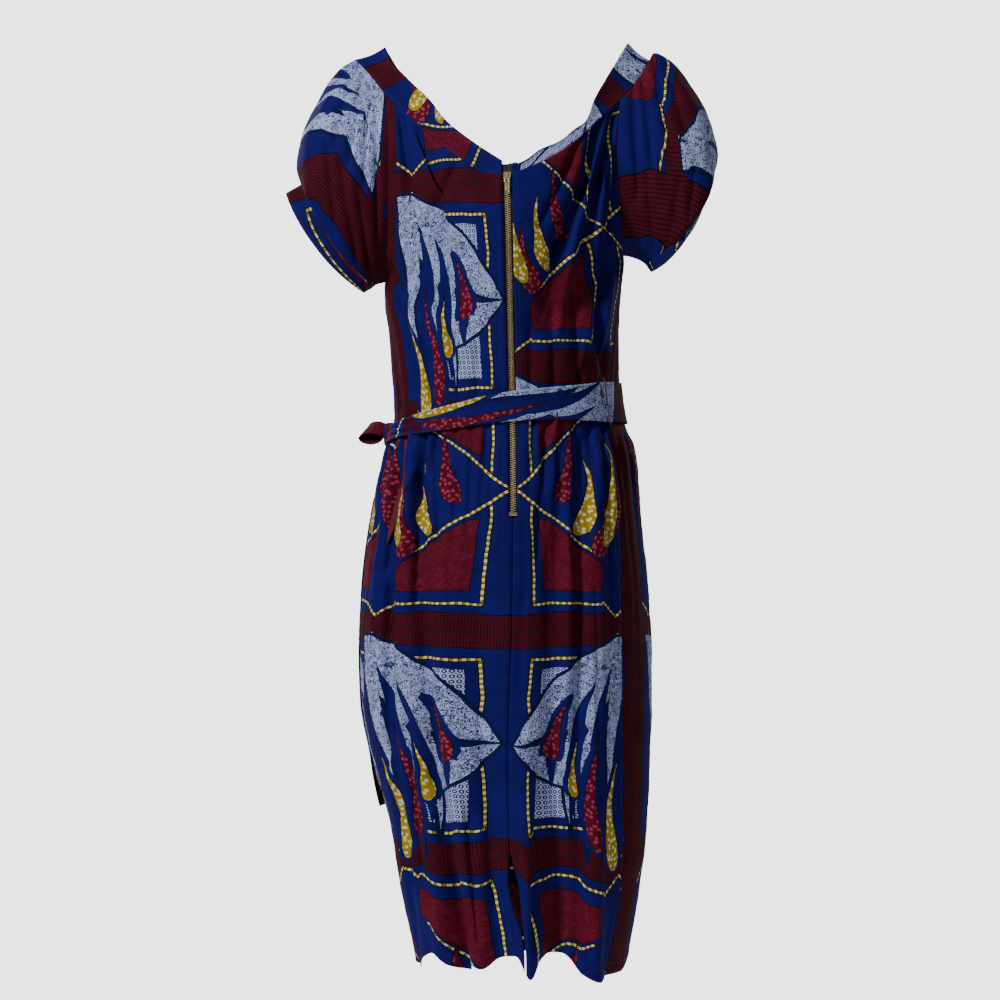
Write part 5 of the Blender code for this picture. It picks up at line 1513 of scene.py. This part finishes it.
# The pieces meet at their seams, where their source leaves a gap for the solids.
dress_cloth("bodice_front_left", bodice_front(-1), (0.20, 0.30), (0.004, 0.458, 0, -1),
            "gathered", ["skirt_front_left"], bodice_relief, grain="level", calm=calm_by_zip)
dress_cloth("bodice_front_right", bodice_front(1), (0.19, 0.29), (0.150, 0.234, 180, 1),
            "gathered", ["skirt_front_right"], bodice_relief, flat=(0.215, 0.29), grain="level",
            calm=calm_by_zip)
dress_cloth("bodice_back", bodice_back, (0.42, 0.33), (0.20, 0.430, 0, -1), "gathered",
            ["skirt_back"], bodice_back_relief, flat=(0.44, 0.33), grain="level")

for side, name, size, lay in (
    (-1, "left", (0.262, 0.033), (-0.010, 0.082, 0, -1)),
    (1, "right", (0.262, 0.026), (0.030, 0.247, 0, -1)),
    (0, "back", (0.50, 0.033), (0.05, 0.205, 0, -1)),
):
    dress_cloth(f"neckband_{name}", neckband(side), size, lay, "stretched",
                [f"bodice_{'front_' * bool(side)}{name}"], slot="wax_print_crimson", step=0.0030)

for side, name, lay, cuff_size, cuff_lay in (
    (-1, "left", (-0.12, 0.40, -40, 1), (0.30, 0.026), (0.0, 0.30, 80, 1)),
    (1, "right", (-0.165, 0.194, -20, 1), (0.36, 0.016), (0.1, 0.20, 10, 1)),
):
    dress_cloth(f"sleeve_{name}", sleeve(side), (0.44, 0.19), lay, "gathered",
                [f"bodice_front_{name}", "bodice_back"], sleeve_relief, flat=(0.42, 0.18),
                centre=ring_middles(partial(sleeve_middle, side)), closed=True, step=0.0030,
                grain="length")
    dress_cloth(f"cuff_{name}", cuff(side), cuff_size, cuff_lay, "stretched", [f"sleeve_{name}"],
                centre=ring_middles(partial(cuff_middle, side)), closed=True, step=0.0026)

down = WAIST_Z - KITE_Z


def evenly(surface):
    """A skirt panel whose rows are evenly spaced from waist to hem."""
    drops = SKIRT_LEVELS[0] - np.array(SKIRT_LEVELS)

    def even(across, along):
        return surface(across, np.interp(along * drops[-1], drops, EVEN_SHARES))

    return even


for side, name, wide, cut in ((-1, "left", 0.178, 0.228), (1, "right", 0.165, 0.165)):
    dress_cloth(f"skirt_front_{name}", evenly(front_panel(side)), (wide, SKIRT_LONG),
                (0.001, -down, 0, 1), "gathered", [f"bodice_front_{name}"], skirt_relief,
                flat=(cut, SKIRT_LONG), gap=front_gap, calm=calm_by_zip)
left_edge = seam_edge(-1, -1)
skirt_back = skirt_panel(seam_edge(1, 1), lambda z: left_edge(z) + 360, HEM_BACK, 0)
dress_cloth("skirt_back", evenly(skirt_back), (0.57, SKIRT_LONG), (0.181, -down, 0, 1),
            "gathered", ["bodice_back"], skirt_relief, step=0.0038)


def pocket(side):
    """A pocket's back layer, which runs forward from the back panel and is longest above its
    middle."""

    def plain(across, along):
        z = POCKET_TOP_Z + (POCKET_FOOT_Z - POCKET_TOP_Z) * along
        bulge = np.clip(along * POCKET_BULGE[1] + POCKET_BULGE[0], 0, 1)
        reach = 0.5 + 0.5 * np.sin(math.pi * bulge)
        angle = side_seam_angle(side, z) + side * (POCKET_BEHIND - POCKET_SPAN * across * reach)
        return skirt_cloth(angle, z)

    def surface(across, along):
        inwards = side * normals_of(plain, across, along)
        inside = POCKET_AT_BACK + (POCKET_INSIDE - POCKET_AT_BACK) * across
        return plain(across, along) - inwards * inside[:, None]

    return surface


for side, name in ((-1, "left"), (1, "right")):
    dress_cloth(f"pocket_{name}", pocket(side), (0.036, 0.16), (0, 0, 0, 1), "hung",
                ["skirt_back"], area=0.0045, slot="pocket_cloth", finishes=(POCKET,))


def copies(name, original, places):
    """Copies of one small part at many places, as one piece of the dress."""
    corners = np.array([[*vert.co, 1.0] for vert in original.data.vertices])
    faces = [np.array(face.vertices) for face in original.data.polygons]
    placed = np.einsum("nij,vj->nvi", np.array(places), corners)[..., :3]
    starts = np.arange(len(places)) * len(corners)
    mesh = bpy.data.meshes.new(name)
    mesh.from_pydata(
        placed.reshape(-1, 3), [], [(face + start).tolist() for start in starts for face in faces]
    )
    made = new_object(name, mesh)
    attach(made, "dress")
    return made


# ---- Stitching ----

STITCH = 0.0026  # length of a stitch, with 0.7 mm to the next
STITCH_PITCH = 0.0033
THREAD_THICK = 0.00042
STITCH_RISE = 0.45  # of its middle over the cloth, and of its ends below that, in thicknesses
STITCH_DIP = 1.1
LOOK_AHEAD = 0.0012  # from a place on a line of stitches to the one that gives its direction
LINE_PLACES = 400  # places at which a line is read


def make_stitch():
    """One stitch: a short thread that dips into the cloth at its two ends."""
    bpy.ops.mesh.primitive_cylinder_add(vertices=6, radius=THREAD_THICK / 2, depth=STITCH,
                                        rotation=(0, math.pi / 2, 0), end_fill_type="NGON")
    bpy.ops.object.transform_apply(location=True, rotation=True, scale=True)
    stitch = bpy.context.object
    bpy.ops.object.mode_set(mode="EDIT")
    bpy.ops.mesh.select_all(action="SELECT")
    bpy.ops.mesh.bisect(plane_co=(0, 0, 0), plane_no=(1, 0, 0))
    bpy.ops.object.mode_set(mode="OBJECT")
    for vert in stitch.data.vertices:
        vert.co.z += THREAD_THICK * (STITCH_RISE - STITCH_DIP * (2 * vert.co.x / STITCH) ** 2)
    stitch.select_set(False)
    return stitch


def sewn_line(name, start, end, lift=WALL / 2):
    """Places of stitches on a laid piece, between two points given as shares of its width and
    of its length."""
    points, out = LAID[name]
    rows, columns = points.shape[0] - 1, points.shape[1] - 1
    share = np.linspace(0, 1, LINE_PLACES)[:, None]
    at = np.array(start) * (1 - share) + np.array(end) * share
    u, v = at[:, 0] * columns, at[:, 1] * rows
    i, j = np.clip(u.astype(int), 0, columns - 1), np.clip(v.astype(int), 0, rows - 1)
    a, b = (u - i)[:, None], (v - j)[:, None]

    def between(grid):
        low = grid[j, i] * (1 - a) + grid[j, i + 1] * a
        return low * (1 - b) + (grid[j + 1, i] * (1 - a) + grid[j + 1, i + 1] * a) * b

    line = between(points) + between(out) * lift
    normal = between(out)
    length = np.concatenate([[0], np.cumsum(np.linalg.norm(np.diff(line, axis=0), axis=1))])
    count = int(length[-1] / STITCH_PITCH)
    spots = (np.arange(count) + 0.5) * length[-1] / max(count, 1)
    places = []
    for spot in spots:
        here, up, ahead = (
            np.array([np.interp(spot + more, length, grid[:, k]) for k in range(3)])
            for grid, more in ((line, 0.0), (normal, 0.0), (line, LOOK_AHEAD))
        )
        ahead = ahead - here
        up = up - ahead * (up @ ahead) / max(ahead @ ahead, 1e-12)
        ahead, up = ahead / np.linalg.norm(ahead), up / np.linalg.norm(up)
        place = np.eye(4)
        place[:3, 0], place[:3, 1], place[:3, 2] = ahead, np.cross(up, ahead), up
        place[:3, 3] = here
        places.append(place)
    return places


def sew(panel, *lines):
    """Stitches a laid piece along lines, each from one place on it to another."""
    places = [place for line in lines for place in sewn_line(panel, *line)]
    SEWN[panel] = copies(f"stitches_{panel}", stitch, places)


def across_at(*levels, start=0.0, end=1.0):
    """Lines that run across a piece, at shares of its length."""
    return [((start, level), (end, level)) for level in levels]


# Where stitches run: all but the first are shares of a piece's width or length.
ZIP_STITCH = 0.0070  # from the zip opening's edge to its stitching
ZIP_FOOT = (WAIST_Z - ZIP_END_Z + 0.006) / (WAIST_Z - SKIRT_LEVELS[-1])
HEM_STITCH = 1 - 0.013 / SKIRT_LONG
MOUTH_STITCH = 0.965  # the share of a front panel's width at which its pocket's mouth is sewn
MOUTH = (0.02, (WAIST_Z - MOUTH_FOOT_Z) / SKIRT_LONG)
EDGE_STITCH = 0.0028 / 0.022
SLIT_STITCH = 0.010 / 0.15
SLIT_TOP = 0.80
BAND_STITCHES = across_at(0.10, 0.90)
BODICE_STITCH = ZIP_STITCH / 0.20
SKIRT_STITCH = ZIP_STITCH / 0.17
stitch = make_stitch()
for name in ("left", "right"):
    sew(f"skirt_front_{name}",
        ((SKIRT_STITCH, 0.0), (SKIRT_STITCH, ZIP_FOOT)),
        ((0.004, ZIP_FOOT), (SKIRT_STITCH, ZIP_FOOT)),
        ((SLIT_STITCH, SLIT_TOP), (SLIT_STITCH, HEM_STITCH)),
        *across_at(HEM_STITCH),
        ((MOUTH_STITCH, MOUTH[0]), (MOUTH_STITCH, MOUTH[1])))
    sew(f"bodice_front_{name}", ((BODICE_STITCH, 0.0), (BODICE_STITCH, 1.0)))
    sew(f"neckband_{name}", *BAND_STITCHES)
    sew(f"cuff_{name}", *across_at(EDGE_STITCH, 1 - EDGE_STITCH))
sew("skirt_back", *across_at(HEM_STITCH))
sew("neckband_back", *BAND_STITCHES)


# ---- Sash ----

SASH_PLEATS = 2.4  # pleats across the band, and how high they stand
SASH_PLEAT_HIGH = 0.0010
SASH_TIGHT = (0.28, 0.12)  # shares of its length over which they fade, from its start and end
LOOP_PINCHED = 0.72  # share of its width that the loop has at the knot
LOOP_OPEN = 0.05  # share of half a turn by which its two ends stay apart at the knot
TAIL_PINCHED = 0.42  # share of its width that a tail has at the knot
TAIL_OPEN = 0.14  # how far down it has its full width, and how far down it has turned to its end
TAIL_TURNED = 0.10
TAIL_SETTLED = 0.06  # how far down it comes out from under the knot
TAIL_STANDS = 0.8  # share of its length from which its end stands off
TAIL_PLEATS = 1.5
TAIL_PLEAT_HIGH = 0.0009
TAIL_PLEAT_FADE = 0.45  # share of a tail's length

clear = degrees_round_waist(KNOT_SIZE[0] / 2 + SEAM, KNOT_ANGLE)


def sash_around(across, along):
    angle = KNOT_ANGLE + clear + (360 - 2 * clear) * across
    return sash(angle, along - 0.5, np.full_like(angle, SASH_OUT))


def sash_relief(points, out, across, along):
    """Long wrinkles where the sash narrows towards its knot."""
    tight = np.exp(-((across / SASH_TIGHT[0]) ** 2)) + np.exp(-(((1 - across) / SASH_TIGHT[1]) ** 2))
    pleats = np.sin(along * 2 * math.pi * SASH_PLEATS + 3.0 * across + 0.6)
    return SASH_PLEAT_HIGH * tight * pleats


def loop_place():
    """The middle of the half bow's loop, and the knot's directions: round, outwards, up."""
    middle, around, out, up = knot_place()
    from_knot = KNOT_SIZE[1] / 2 + CLOTH / 2 + LOOP_HALF[0]
    return middle + out * from_knot + up * LOOP_RISE, around, out, up


def loop_surface(across, along):
    """The loop of the half bow: a band that runs out from the knot and back."""
    centre, around, out, up = loop_place()
    tilt = math.radians(LOOP_TILT)
    wide = around * math.cos(tilt) + up * math.sin(tilt)
    high = np.cross(out, wide)
    a = math.pi * (LOOP_OPEN + 2 * (1 - LOOP_OPEN) * across)
    wide_now = LOOP_WIDTH * (LOOP_PINCHED + (1 - LOOP_PINCHED) * np.sin(a / 2))
    return (
        centre
        + out * (-LOOP_HALF[0] * np.cos(a))[:, None]
        + high * (LOOP_HALF[1] * np.sin(a))[:, None]
        + wide * ((along - 0.5) * wide_now)[:, None]
    )


def loop_axis(points):
    return np.broadcast_to(loop_place()[0], points.shape)


def tail(place):
    """One of the sash's two hanging ends, which lie on the skirt."""
    top = float(sash_level(KNOT_ANGLE)) - KNOT_SIZE[2] / 2 - SEAM

    def surface(across, along):
        z = top - place["length"] * along
        spread = TAIL_PINCHED + (1 - TAIL_PINCHED) * ramp(top - z, 0, TAIL_OPEN)
        angle = place["top"] + (place["end"] - place["top"]) * ramp(top - z, 0, TAIL_TURNED)
        angle = angle + np.degrees((across - 0.5) * TAIL_WIDTH * spread / BODY_RADIUS)
        out = TAIL_OUT + TAIL_UNDER_KNOT * ramp(z - top, -TAIL_SETTLED, 0)
        out = out + place["stand"] * ramp(along, TAIL_STANDS, 1.0)
        return skirt_cloth(angle, z) + outwards(angle, z) * out[:, None]

    return surface


def tail_relief(points, out, across, along):
    """The skirt's own relief under the tail, and pleats that start at the knot."""
    under = skirt_relief(points, out, across, along)
    pleats = np.sin(across * 2 * math.pi * TAIL_PLEATS + 4 * along)
    return under + TAIL_PLEAT_HIGH * pleats * np.exp(-along / TAIL_PLEAT_FADE)


KNOT_SQUARE = 0.62  # power that makes a sphere squarer: 1 would leave it round
KNOT_REACH = 1.28  # how far its corners may reach, in half sizes
KNOT_PLEAT = 0.045  # shares of its size: the pleats' height and the groove's depth
KNOT_GROOVE = 0.10
KNOT_HALF = 0.46  # half of its size, drawn in a little so that its pleats stay inside it
KNOT_HALF_HIGH = 0.47


def make_knot():
    """The knot: a rounded lump, pleated, with a groove where one turn of cloth wraps it."""
    middle, around, out, up = knot_place()
    bpy.ops.mesh.primitive_uv_sphere_add(segments=48, ring_count=32, radius=0.5)
    knot = bpy.context.object
    knot.name = knot.data.name = "sash_knot_cloth"
    uv = knot.data.uv_layers[0]
    uv.name = "cloth"
    for vert in knot.data.vertices:
        x, y, z = vert.co * 2
        x, y, z = (math.copysign(abs(c) ** KNOT_SQUARE, c) for c in (x, y, z))
        long = max(1.0, math.sqrt(x * x + y * y + z * z) / KNOT_REACH)
        x, y, z = x / long, y / long, z / long
        pleat = 1 + KNOT_PLEAT * math.sin(9.5 * z + 3.1 * x) * (1 - 0.5 * abs(z))
        wrap = 1 - KNOT_GROOVE * math.exp(-(((z - 0.35 * x) / 0.16) ** 2))
        place = middle + around * (x * pleat * wrap * KNOT_SIZE[0] * KNOT_HALF)
        place = place + out * (y * pleat * wrap * KNOT_SIZE[1] * KNOT_HALF)
        place = place + up * (z * KNOT_SIZE[2] * KNOT_HALF_HIGH)
        vert.co = Vector(place)
    for loop in uv.data:
        loop.uv = (0.075 + loop.uv[0] * 0.10, 0.090 + loop.uv[1] * 0.045)
    knot.data.materials.append(PRINT)
    knot.data.shade_smooth()
    knot.select_set(False)
    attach(knot, "dress")
    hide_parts("sash_knot")
    return knot


# One strip of 46 mm goes round the waist and through the knot: each stretch is given the length
# of strip that it takes, as its cut size. Both of its sides show the print.
KNOT = make_knot()
AT_BACK = ["sash_knot", "skirt_back"]  # what the tails rest on
TWICE = (PRINT, PRINT)
dress_cloth("sash_loop", loop_surface, (0.078, 0.030), (0.05, 0.10, 0, 1), "folded",
            ["sash_knot"], flat=(0.030, 0.078), finishes=TWICE, centre=loop_axis, step=0.0022)
dress_cloth("sash_tail_long", tail(TAILS["long"]), (0.046, 0.46), (0.02, 0.02, 0, 1), "hung",
            AT_BACK, tail_relief, area=0.0185, finishes=TWICE, step=0.0030)
dress_cloth("sash_tail_short", tail(TAILS["short"]), (0.046, 0.33), (0.06, 0.20, 0, 1), "hung",
            AT_BACK, tail_relief, area=0.0135, finishes=TWICE, step=0.0030)
dress_cloth("sash_band", sash_around, (0.78, 0.044), (0.100, 0.585, -90, 1), "stretched",
            ["bodice_front_left", "bodice_front_right", "bodice_back"], sash_relief,
            flat=(0.046, 0.80), finishes=TWICE, step=0.0028)
for panel, low in (("sash_band", 0.07), ("sash_loop", 0.10)):
    sew(panel, *across_at(low, 1 - low, start=0.01, end=0.99))
for panel in ("sash_tail_long", "sash_tail_short"):
    sew(panel, ((0.07, 0.01), (0.07, 0.992)), ((0.07, 0.992), (0.93, 0.992)),
        ((0.93, 0.01), (0.93, 0.992)))
bpy.data.objects.remove(stitch)
for sewn in SEWN.values():
    sewn.data.materials.append(NAVY_THREAD)

# For each piece, the parts that go with it are gathered: the knot with the sash's band, and its
# stitches.
for name, piece, flat, held, rests_on, area in SHEETS:
    going = [KNOT] if name == "sash_band" else []
    going += [SEWN[name]] if name in SEWN else []


# ---- Zip ----

TAPE_END = 0.0125  # how far the tapes run up behind the neckband
TAPE_SIZE = (TAPE_WIDTH, 0.437)

for side, name in ((-1, "left"), (1, "right")):

    def tape(across, along, side=side):
        z = NECK_Z + TAPE_END + (ZIP_END_Z - NECK_Z - TAPE_END) * along
        sewn = np.minimum(z, NECK_Z - SEAM)
        inner = zip_line(sewn)
        edge = front_sheet(side, TAPE_WIDTH - OPENING_HALF, sewn)
        share = across[:, None]
        flat = inner * (1 - share) + edge * share + np.array([0, TAPE_BEHIND, 0])
        return flat + (z - sewn)[:, None] * np.array([0, 0.1, 1.0])

    piece = cloth_piece(f"zip_tape_{name}", tape, TAPE_SIZE, (0, 0, 0, 1), (TAPE,),
                        step=0.0026, wall=0.0009)

TOOTH_PITCH = 0.0028
TOOTH = (0.0042, 0.0022, 0.0014)  # across, out, up
TOOTH_THIN = 0.72  # how thick its half on the tape's side is, as a share of its head
TEETH_WIDTH = 0.0072  # across both rows, closed
ZIP_LEVELS = np.linspace(ZIP_END_Z - 0.001, NECK_Z - SEAM, 260)
ZIP_PLACES = zip_line(ZIP_LEVELS)


def zip_frame(z):
    """A place on the zip and its turn: X across, Y into the dress and Z up the zip."""
    low, place, high = (
        [float(np.interp(level, ZIP_LEVELS, ZIP_PLACES[:, k])) for k in range(3)]
        for level in (z - 0.01, z, z + 0.01)
    )
    tilt = -math.atan2(high[1] - low[1], high[2] - low[2])
    return Matrix.Translation(place) @ Matrix.Rotation(tilt, 4, "X")


def make_tooth():
    """One tooth: a stamped bar that is thicker at its head, with its edges cut off."""
    bpy.ops.mesh.primitive_cube_add(size=1.0)
    tooth = bpy.context.object
    for vert in tooth.data.vertices:
        x, y, z = vert.co
        vert.co = (x * TOOTH[0], y * TOOTH[1], z * TOOTH[2] * (TOOTH_THIN if x < 0 else 1.0))
    bpy.ops.object.mode_set(mode="EDIT")
    bpy.ops.mesh.bevel(offset=0.00035, segments=1, affect="EDGES")
    bpy.ops.object.mode_set(mode="OBJECT")
    tooth.select_set(False)
    return tooth


chain_top = SLIDER_Z - SLIDER_SIZE[2] / 2 - SEAM - TOOTH[2]
chain_foot = ZIP_END_Z + STOP_SIZE[2] + TOOTH[2] / 2 + SEAM
tooth = make_tooth()
places = []
for side in (-1, 1):
    offset = Matrix.Translation((side * (TEETH_WIDTH - TOOTH[0]) / 2, 0, 0))
    turn = Matrix.Rotation(math.pi if side > 0 else 0.0, 4, "Z")
    z = chain_top - (TOOTH_PITCH / 2 if side > 0 else 0.0)
    while z > chain_foot:
        places.append(zip_frame(z) @ offset @ turn)
        z -= TOOTH_PITCH
teeth = copies("zip_teeth", tooth, places)
teeth.data.materials.append(BRASS)
bpy.data.objects.remove(tooth)
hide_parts("zip_chain")


def select_where(piece, kind, test):
    """In edit mode, selects just the edges or the faces that pass a test."""
    bpy.ops.mesh.select_all(action="DESELECT")
    bm = bmesh.from_edit_mesh(piece.data)
    for item in getattr(bm, kind):
        if test(item):
            item.select_set(True)
    bmesh.update_edit_mesh(piece.data)


def rounded_plate(size, corners, rim):
    """A plate in the plane of X and Z, with round corners below and above and a raised rim."""
    bpy.ops.mesh.primitive_cube_add(size=1.0)
    made = bpy.context.object
    for vert in made.data.vertices:
        vert.co = [share * full for share, full in zip(vert.co, size)]
    bpy.ops.object.mode_set(mode="EDIT")
    for above, radius in zip((False, True), corners):

        def at_corner(edge, above=above):
            middle = (edge.verts[0].co + edge.verts[1].co) / 2
            return abs(middle.y) < 1e-6 and (middle.z > 0) == above

        select_where(made, "edges", at_corner)
        bpy.ops.mesh.bevel(offset=radius, segments=5, affect="EDGES")
    select_where(made, "faces", lambda face: abs(face.normal.y) > 0.99)
    bpy.ops.mesh.inset(thickness=rim[0], depth=-rim[1], use_individual=True)
    bpy.ops.object.mode_set(mode="OBJECT")
    made.select_set(False)
    return made


def change(piece, kind, **settings):
    """Puts a modifier on a piece and applies it."""
    modifier = piece.modifiers.new(kind.lower(), kind)
    for key, value in settings.items():
        setattr(modifier, key, value)
    bpy.context.view_layer.objects.active = piece
    bpy.ops.object.modifier_apply(modifier=modifier.name)


def cut_out(piece, cutter):
    """Takes one shape out of a piece."""
    change(piece, "BOOLEAN", operation="DIFFERENCE", object=cutter)
    bpy.data.objects.remove(cutter)


def soften_edges(piece, width):
    """Rounds the edges a little, as tumbling does, and gives the faces smooth shading."""
    change(piece, "BEVEL", width=width, segments=2, limit_method="ANGLE")
    piece.select_set(True)
    bpy.ops.object.shade_smooth_by_angle(angle=math.radians(35))
    piece.select_set(False)


def on_slider(piece, name, out, body):
    """Puts a finished piece at the slider's place, so far out from it, for its CAD node."""
    piece.name = name
    tilt = Matrix.Rotation(lean(SLIDER_Z), 4, "X")
    middle = Matrix.Translation(zip_line(np.array([SLIDER_Z]))[0]) @ Matrix.Translation(
        (0, -SLIDER_AHEAD, 0)
    )
    piece.data.transform(middle @ tilt @ Matrix.Translation((0, -out, 0)))
    piece.data.materials.clear()
    piece.data.materials.append(BRASS)
    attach(piece, body)


TAPE_SLOT = 0.0012  # height of the slots at the slider's sides, and how far out they start
SLOT_FROM = 0.0034
BRIDGE_SUNK = 0.0006  # how far the bridge's feet go into the slider's face
PULL_HOLE = 0.0012  # radius of the hole in the pull, and how far its middle is from the foot
HOLE_FROM_FOOT = 0.0034


def make_slider():
    """The slider: narrow at its foot, open at its sides for the tapes, with an arched bridge."""
    slider = rounded_plate(SLIDER_SIZE, (0.0010, 0.0022), (0.0009, 0.0003))
    for vert in slider.data.vertices:
        vert.co.x *= 0.90 + 0.10 * min(1, max(-1, vert.co.z / (SLIDER_SIZE[2] / 2)))
    slot = (2 * SLIDER_SIZE[0], TAPE_SLOT, 2 * SLIDER_SIZE[2])
    for side in (-1, 1):
        bpy.ops.mesh.primitive_cube_add(size=1.0)
        groove = bpy.context.object
        for vert in groove.data.vertices:
            vert.co = (vert.co.x * slot[0] + side * (slot[0] / 2 + SLOT_FROM), vert.co.y * slot[1],
                       vert.co.z * slot[2])
        groove.select_set(False)
        cut_out(slider, groove)
    soften_edges(slider, 0.00022)
    bpy.ops.mesh.primitive_torus_add(major_radius=BRIDGE_HALF, minor_radius=BRIDGE_WIRE,
                                     major_segments=32, minor_segments=12)
    bridge = bpy.context.object
    face = SLIDER_SIZE[1] / 2 - BRIDGE_SUNK
    for vert in bridge.data.vertices:
        x, y, z = vert.co
        vert.co = (z, y * (BRIDGE_OUT + BRIDGE_SUNK - BRIDGE_WIRE) / BRIDGE_HALF - face, x)
    bpy.ops.object.mode_set(mode="EDIT")
    bpy.ops.mesh.select_all(action="SELECT")
    bpy.ops.mesh.bisect(plane_co=(0, -face, 0), plane_no=(0, 1, 0), clear_outer=True,
                        use_fill=True)
    bpy.ops.mesh.select_all(action="SELECT")
    bpy.ops.mesh.normals_make_consistent(inside=False)
    bpy.ops.object.mode_set(mode="OBJECT")
    bpy.ops.object.shade_smooth_by_angle(angle=math.radians(50))
    slider.select_set(True)
    bpy.context.view_layer.objects.active = slider
    bpy.ops.object.join()
    slider.select_set(False)
    return slider


def make_pull():
    """The pull: a plate with a raised rim, a slot that takes the bridge and a hole in its foot."""
    bar = PULL_SIZE[1] / 2
    pull = rounded_plate(PULL_SIZE, (0.0026, 0.0012), (0.0007, 0.00018))
    for vert in pull.data.vertices:
        vert.co.z += bar - PULL_SIZE[2] / 2
    slot = rounded_plate((PULL_SLOT[0], 0.01, PULL_SLOT[1]), (0.0012, 0.0006), (0.0002, 0.0))
    for vert in slot.data.vertices:
        vert.co.z -= bar + PULL_SLOT[1] / 2
    cut_out(pull, slot)
    bpy.ops.mesh.primitive_cylinder_add(vertices=24, radius=PULL_HOLE, depth=0.01,
                                        rotation=(math.pi / 2, 0, 0),
                                        location=(0, 0, bar - PULL_SIZE[2] + HOLE_FROM_FOOT))
    bpy.ops.object.transform_apply(location=True, rotation=True, scale=True)
    hole = bpy.context.object
    hole.select_set(False)
    cut_out(pull, hole)
    soften_edges(pull, 0.00012)
    return pull


slider = make_slider()
on_slider(slider, "slider", 0.0, "dress")
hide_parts("zip_slider")
pull = make_pull()
on_slider(pull, "pull", SLIDER_SIZE[1] / 2 + PULL_GAP + PULL_SIZE[1] / 2, "pull_tab")
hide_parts("zip_pull")
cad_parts["zip_stop"].data.materials[0] = BRASS
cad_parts["belt_carrier"].data.materials[0] = THREAD


# ---- Stage, light and camera ----

EYE = 3.5  # how far the camera stands from the dress's middle
MIDDLE = (-0.0077, -0.5824)  # what it looks at, across and up
PICTURE = 1.28  # metres that the picture spans at the dress
FLOOR_RADIUS = 1.35
FLOOR_THICK = 0.04
FLOOR_Z = -1.50  # the level of its middle, well under the hem

bpy.ops.mesh.primitive_cylinder_add(vertices=128, radius=FLOOR_RADIUS, depth=FLOOR_THICK,
                                    location=(0, 0, FLOOR_Z))
floor = bpy.context.object
floor.name = "floor"
bpy.ops.object.mode_set(mode="EDIT")
bpy.ops.mesh.bevel(offset=0.01, segments=3, affect="EDGES")
bpy.ops.object.mode_set(mode="OBJECT")
# Studio floor: matt paint, nearly white and a little cloudy. It glows faintly, so that it stays
# almost as pale as the walls.
STUDIO, tree, shader = new_material("matt_painted_studio_floor", Roughness=0.9, IOR=1.45,
                                   Emission_Color=shade("#ffffff"), Emission_Strength=0.26)
at = add(tree, "TexCoord").outputs["Object"]
grain = add(tree, "TexNoise", at, Scale=3.0, Detail=3.0)
tint = add(tree, "Mix", grain, shade("#f1f1f1"), shade("#f6f6f6"), data_type="RGBA")
wire(tree, shader, Base_Color=tint)
floor.data.materials.append(STUDIO)
floor.select_set(False)

WALL_LIGHT = 0.045  # how strongly the walls light the dress, and how bright they are to look at
WALL_BRIGHT = 3.2
world = bpy.data.worlds.new("studio")
bpy.context.scene.world = world
world.use_nodes = True
background = world.node_tree.nodes["Background"]
background.inputs["Color"].default_value = shade("#ffffff")
# The walls are lit by lamps of their own, so they look brighter than they light the dress.
seen = add(world.node_tree, "LightPath").outputs["Is Camera Ray"]
bright = add(world.node_tree, "MapRange", seen, 0.0, 1.0, WALL_LIGHT, WALL_BRIGHT)
wire(world.node_tree, background, Strength=bright)

# Square soft lights: name, place, what each shines at, size and power.
for name, place, aim, size, power in (
    ("key", (-2.1, -2.1, 1.3), (0, 0, -0.55), 0.6, 102),
    ("top", (0.3, -0.6, 2.4), (0, 0, -0.6), 1.6, 9),
    ("back_left", (-2.0, 2.4, 0.8), (0, 0, -0.6), 1.0, 40),
    ("back_right", (2.4, 1.8, 0.5), (0, 0, -0.6), 1.0, 28),
    ("fill", (1.6, -3.2, 0.2), (0, 0, -0.6), 1.2, 12),
):
    light = bpy.data.lights.new(name, "AREA")
    light.shape = "SQUARE"
    light.size = size
    light.energy = power
    lamp = new_object(name, light)
    lamp.location = place
    lamp.rotation_euler = (Vector(aim) - Vector(place)).to_track_quat("-Z", "Y").to_euler()

camera = bpy.data.cameras.new("camera")
camera.sensor_width = 36.0
camera.lens = camera.sensor_width * EYE / PICTURE
eye = new_object("camera", camera)
eye.location = (MIDDLE[0], -EYE, MIDDLE[1])
eye.rotation_euler = (math.pi / 2, 0, 0)
bpy.context.scene.camera = eye
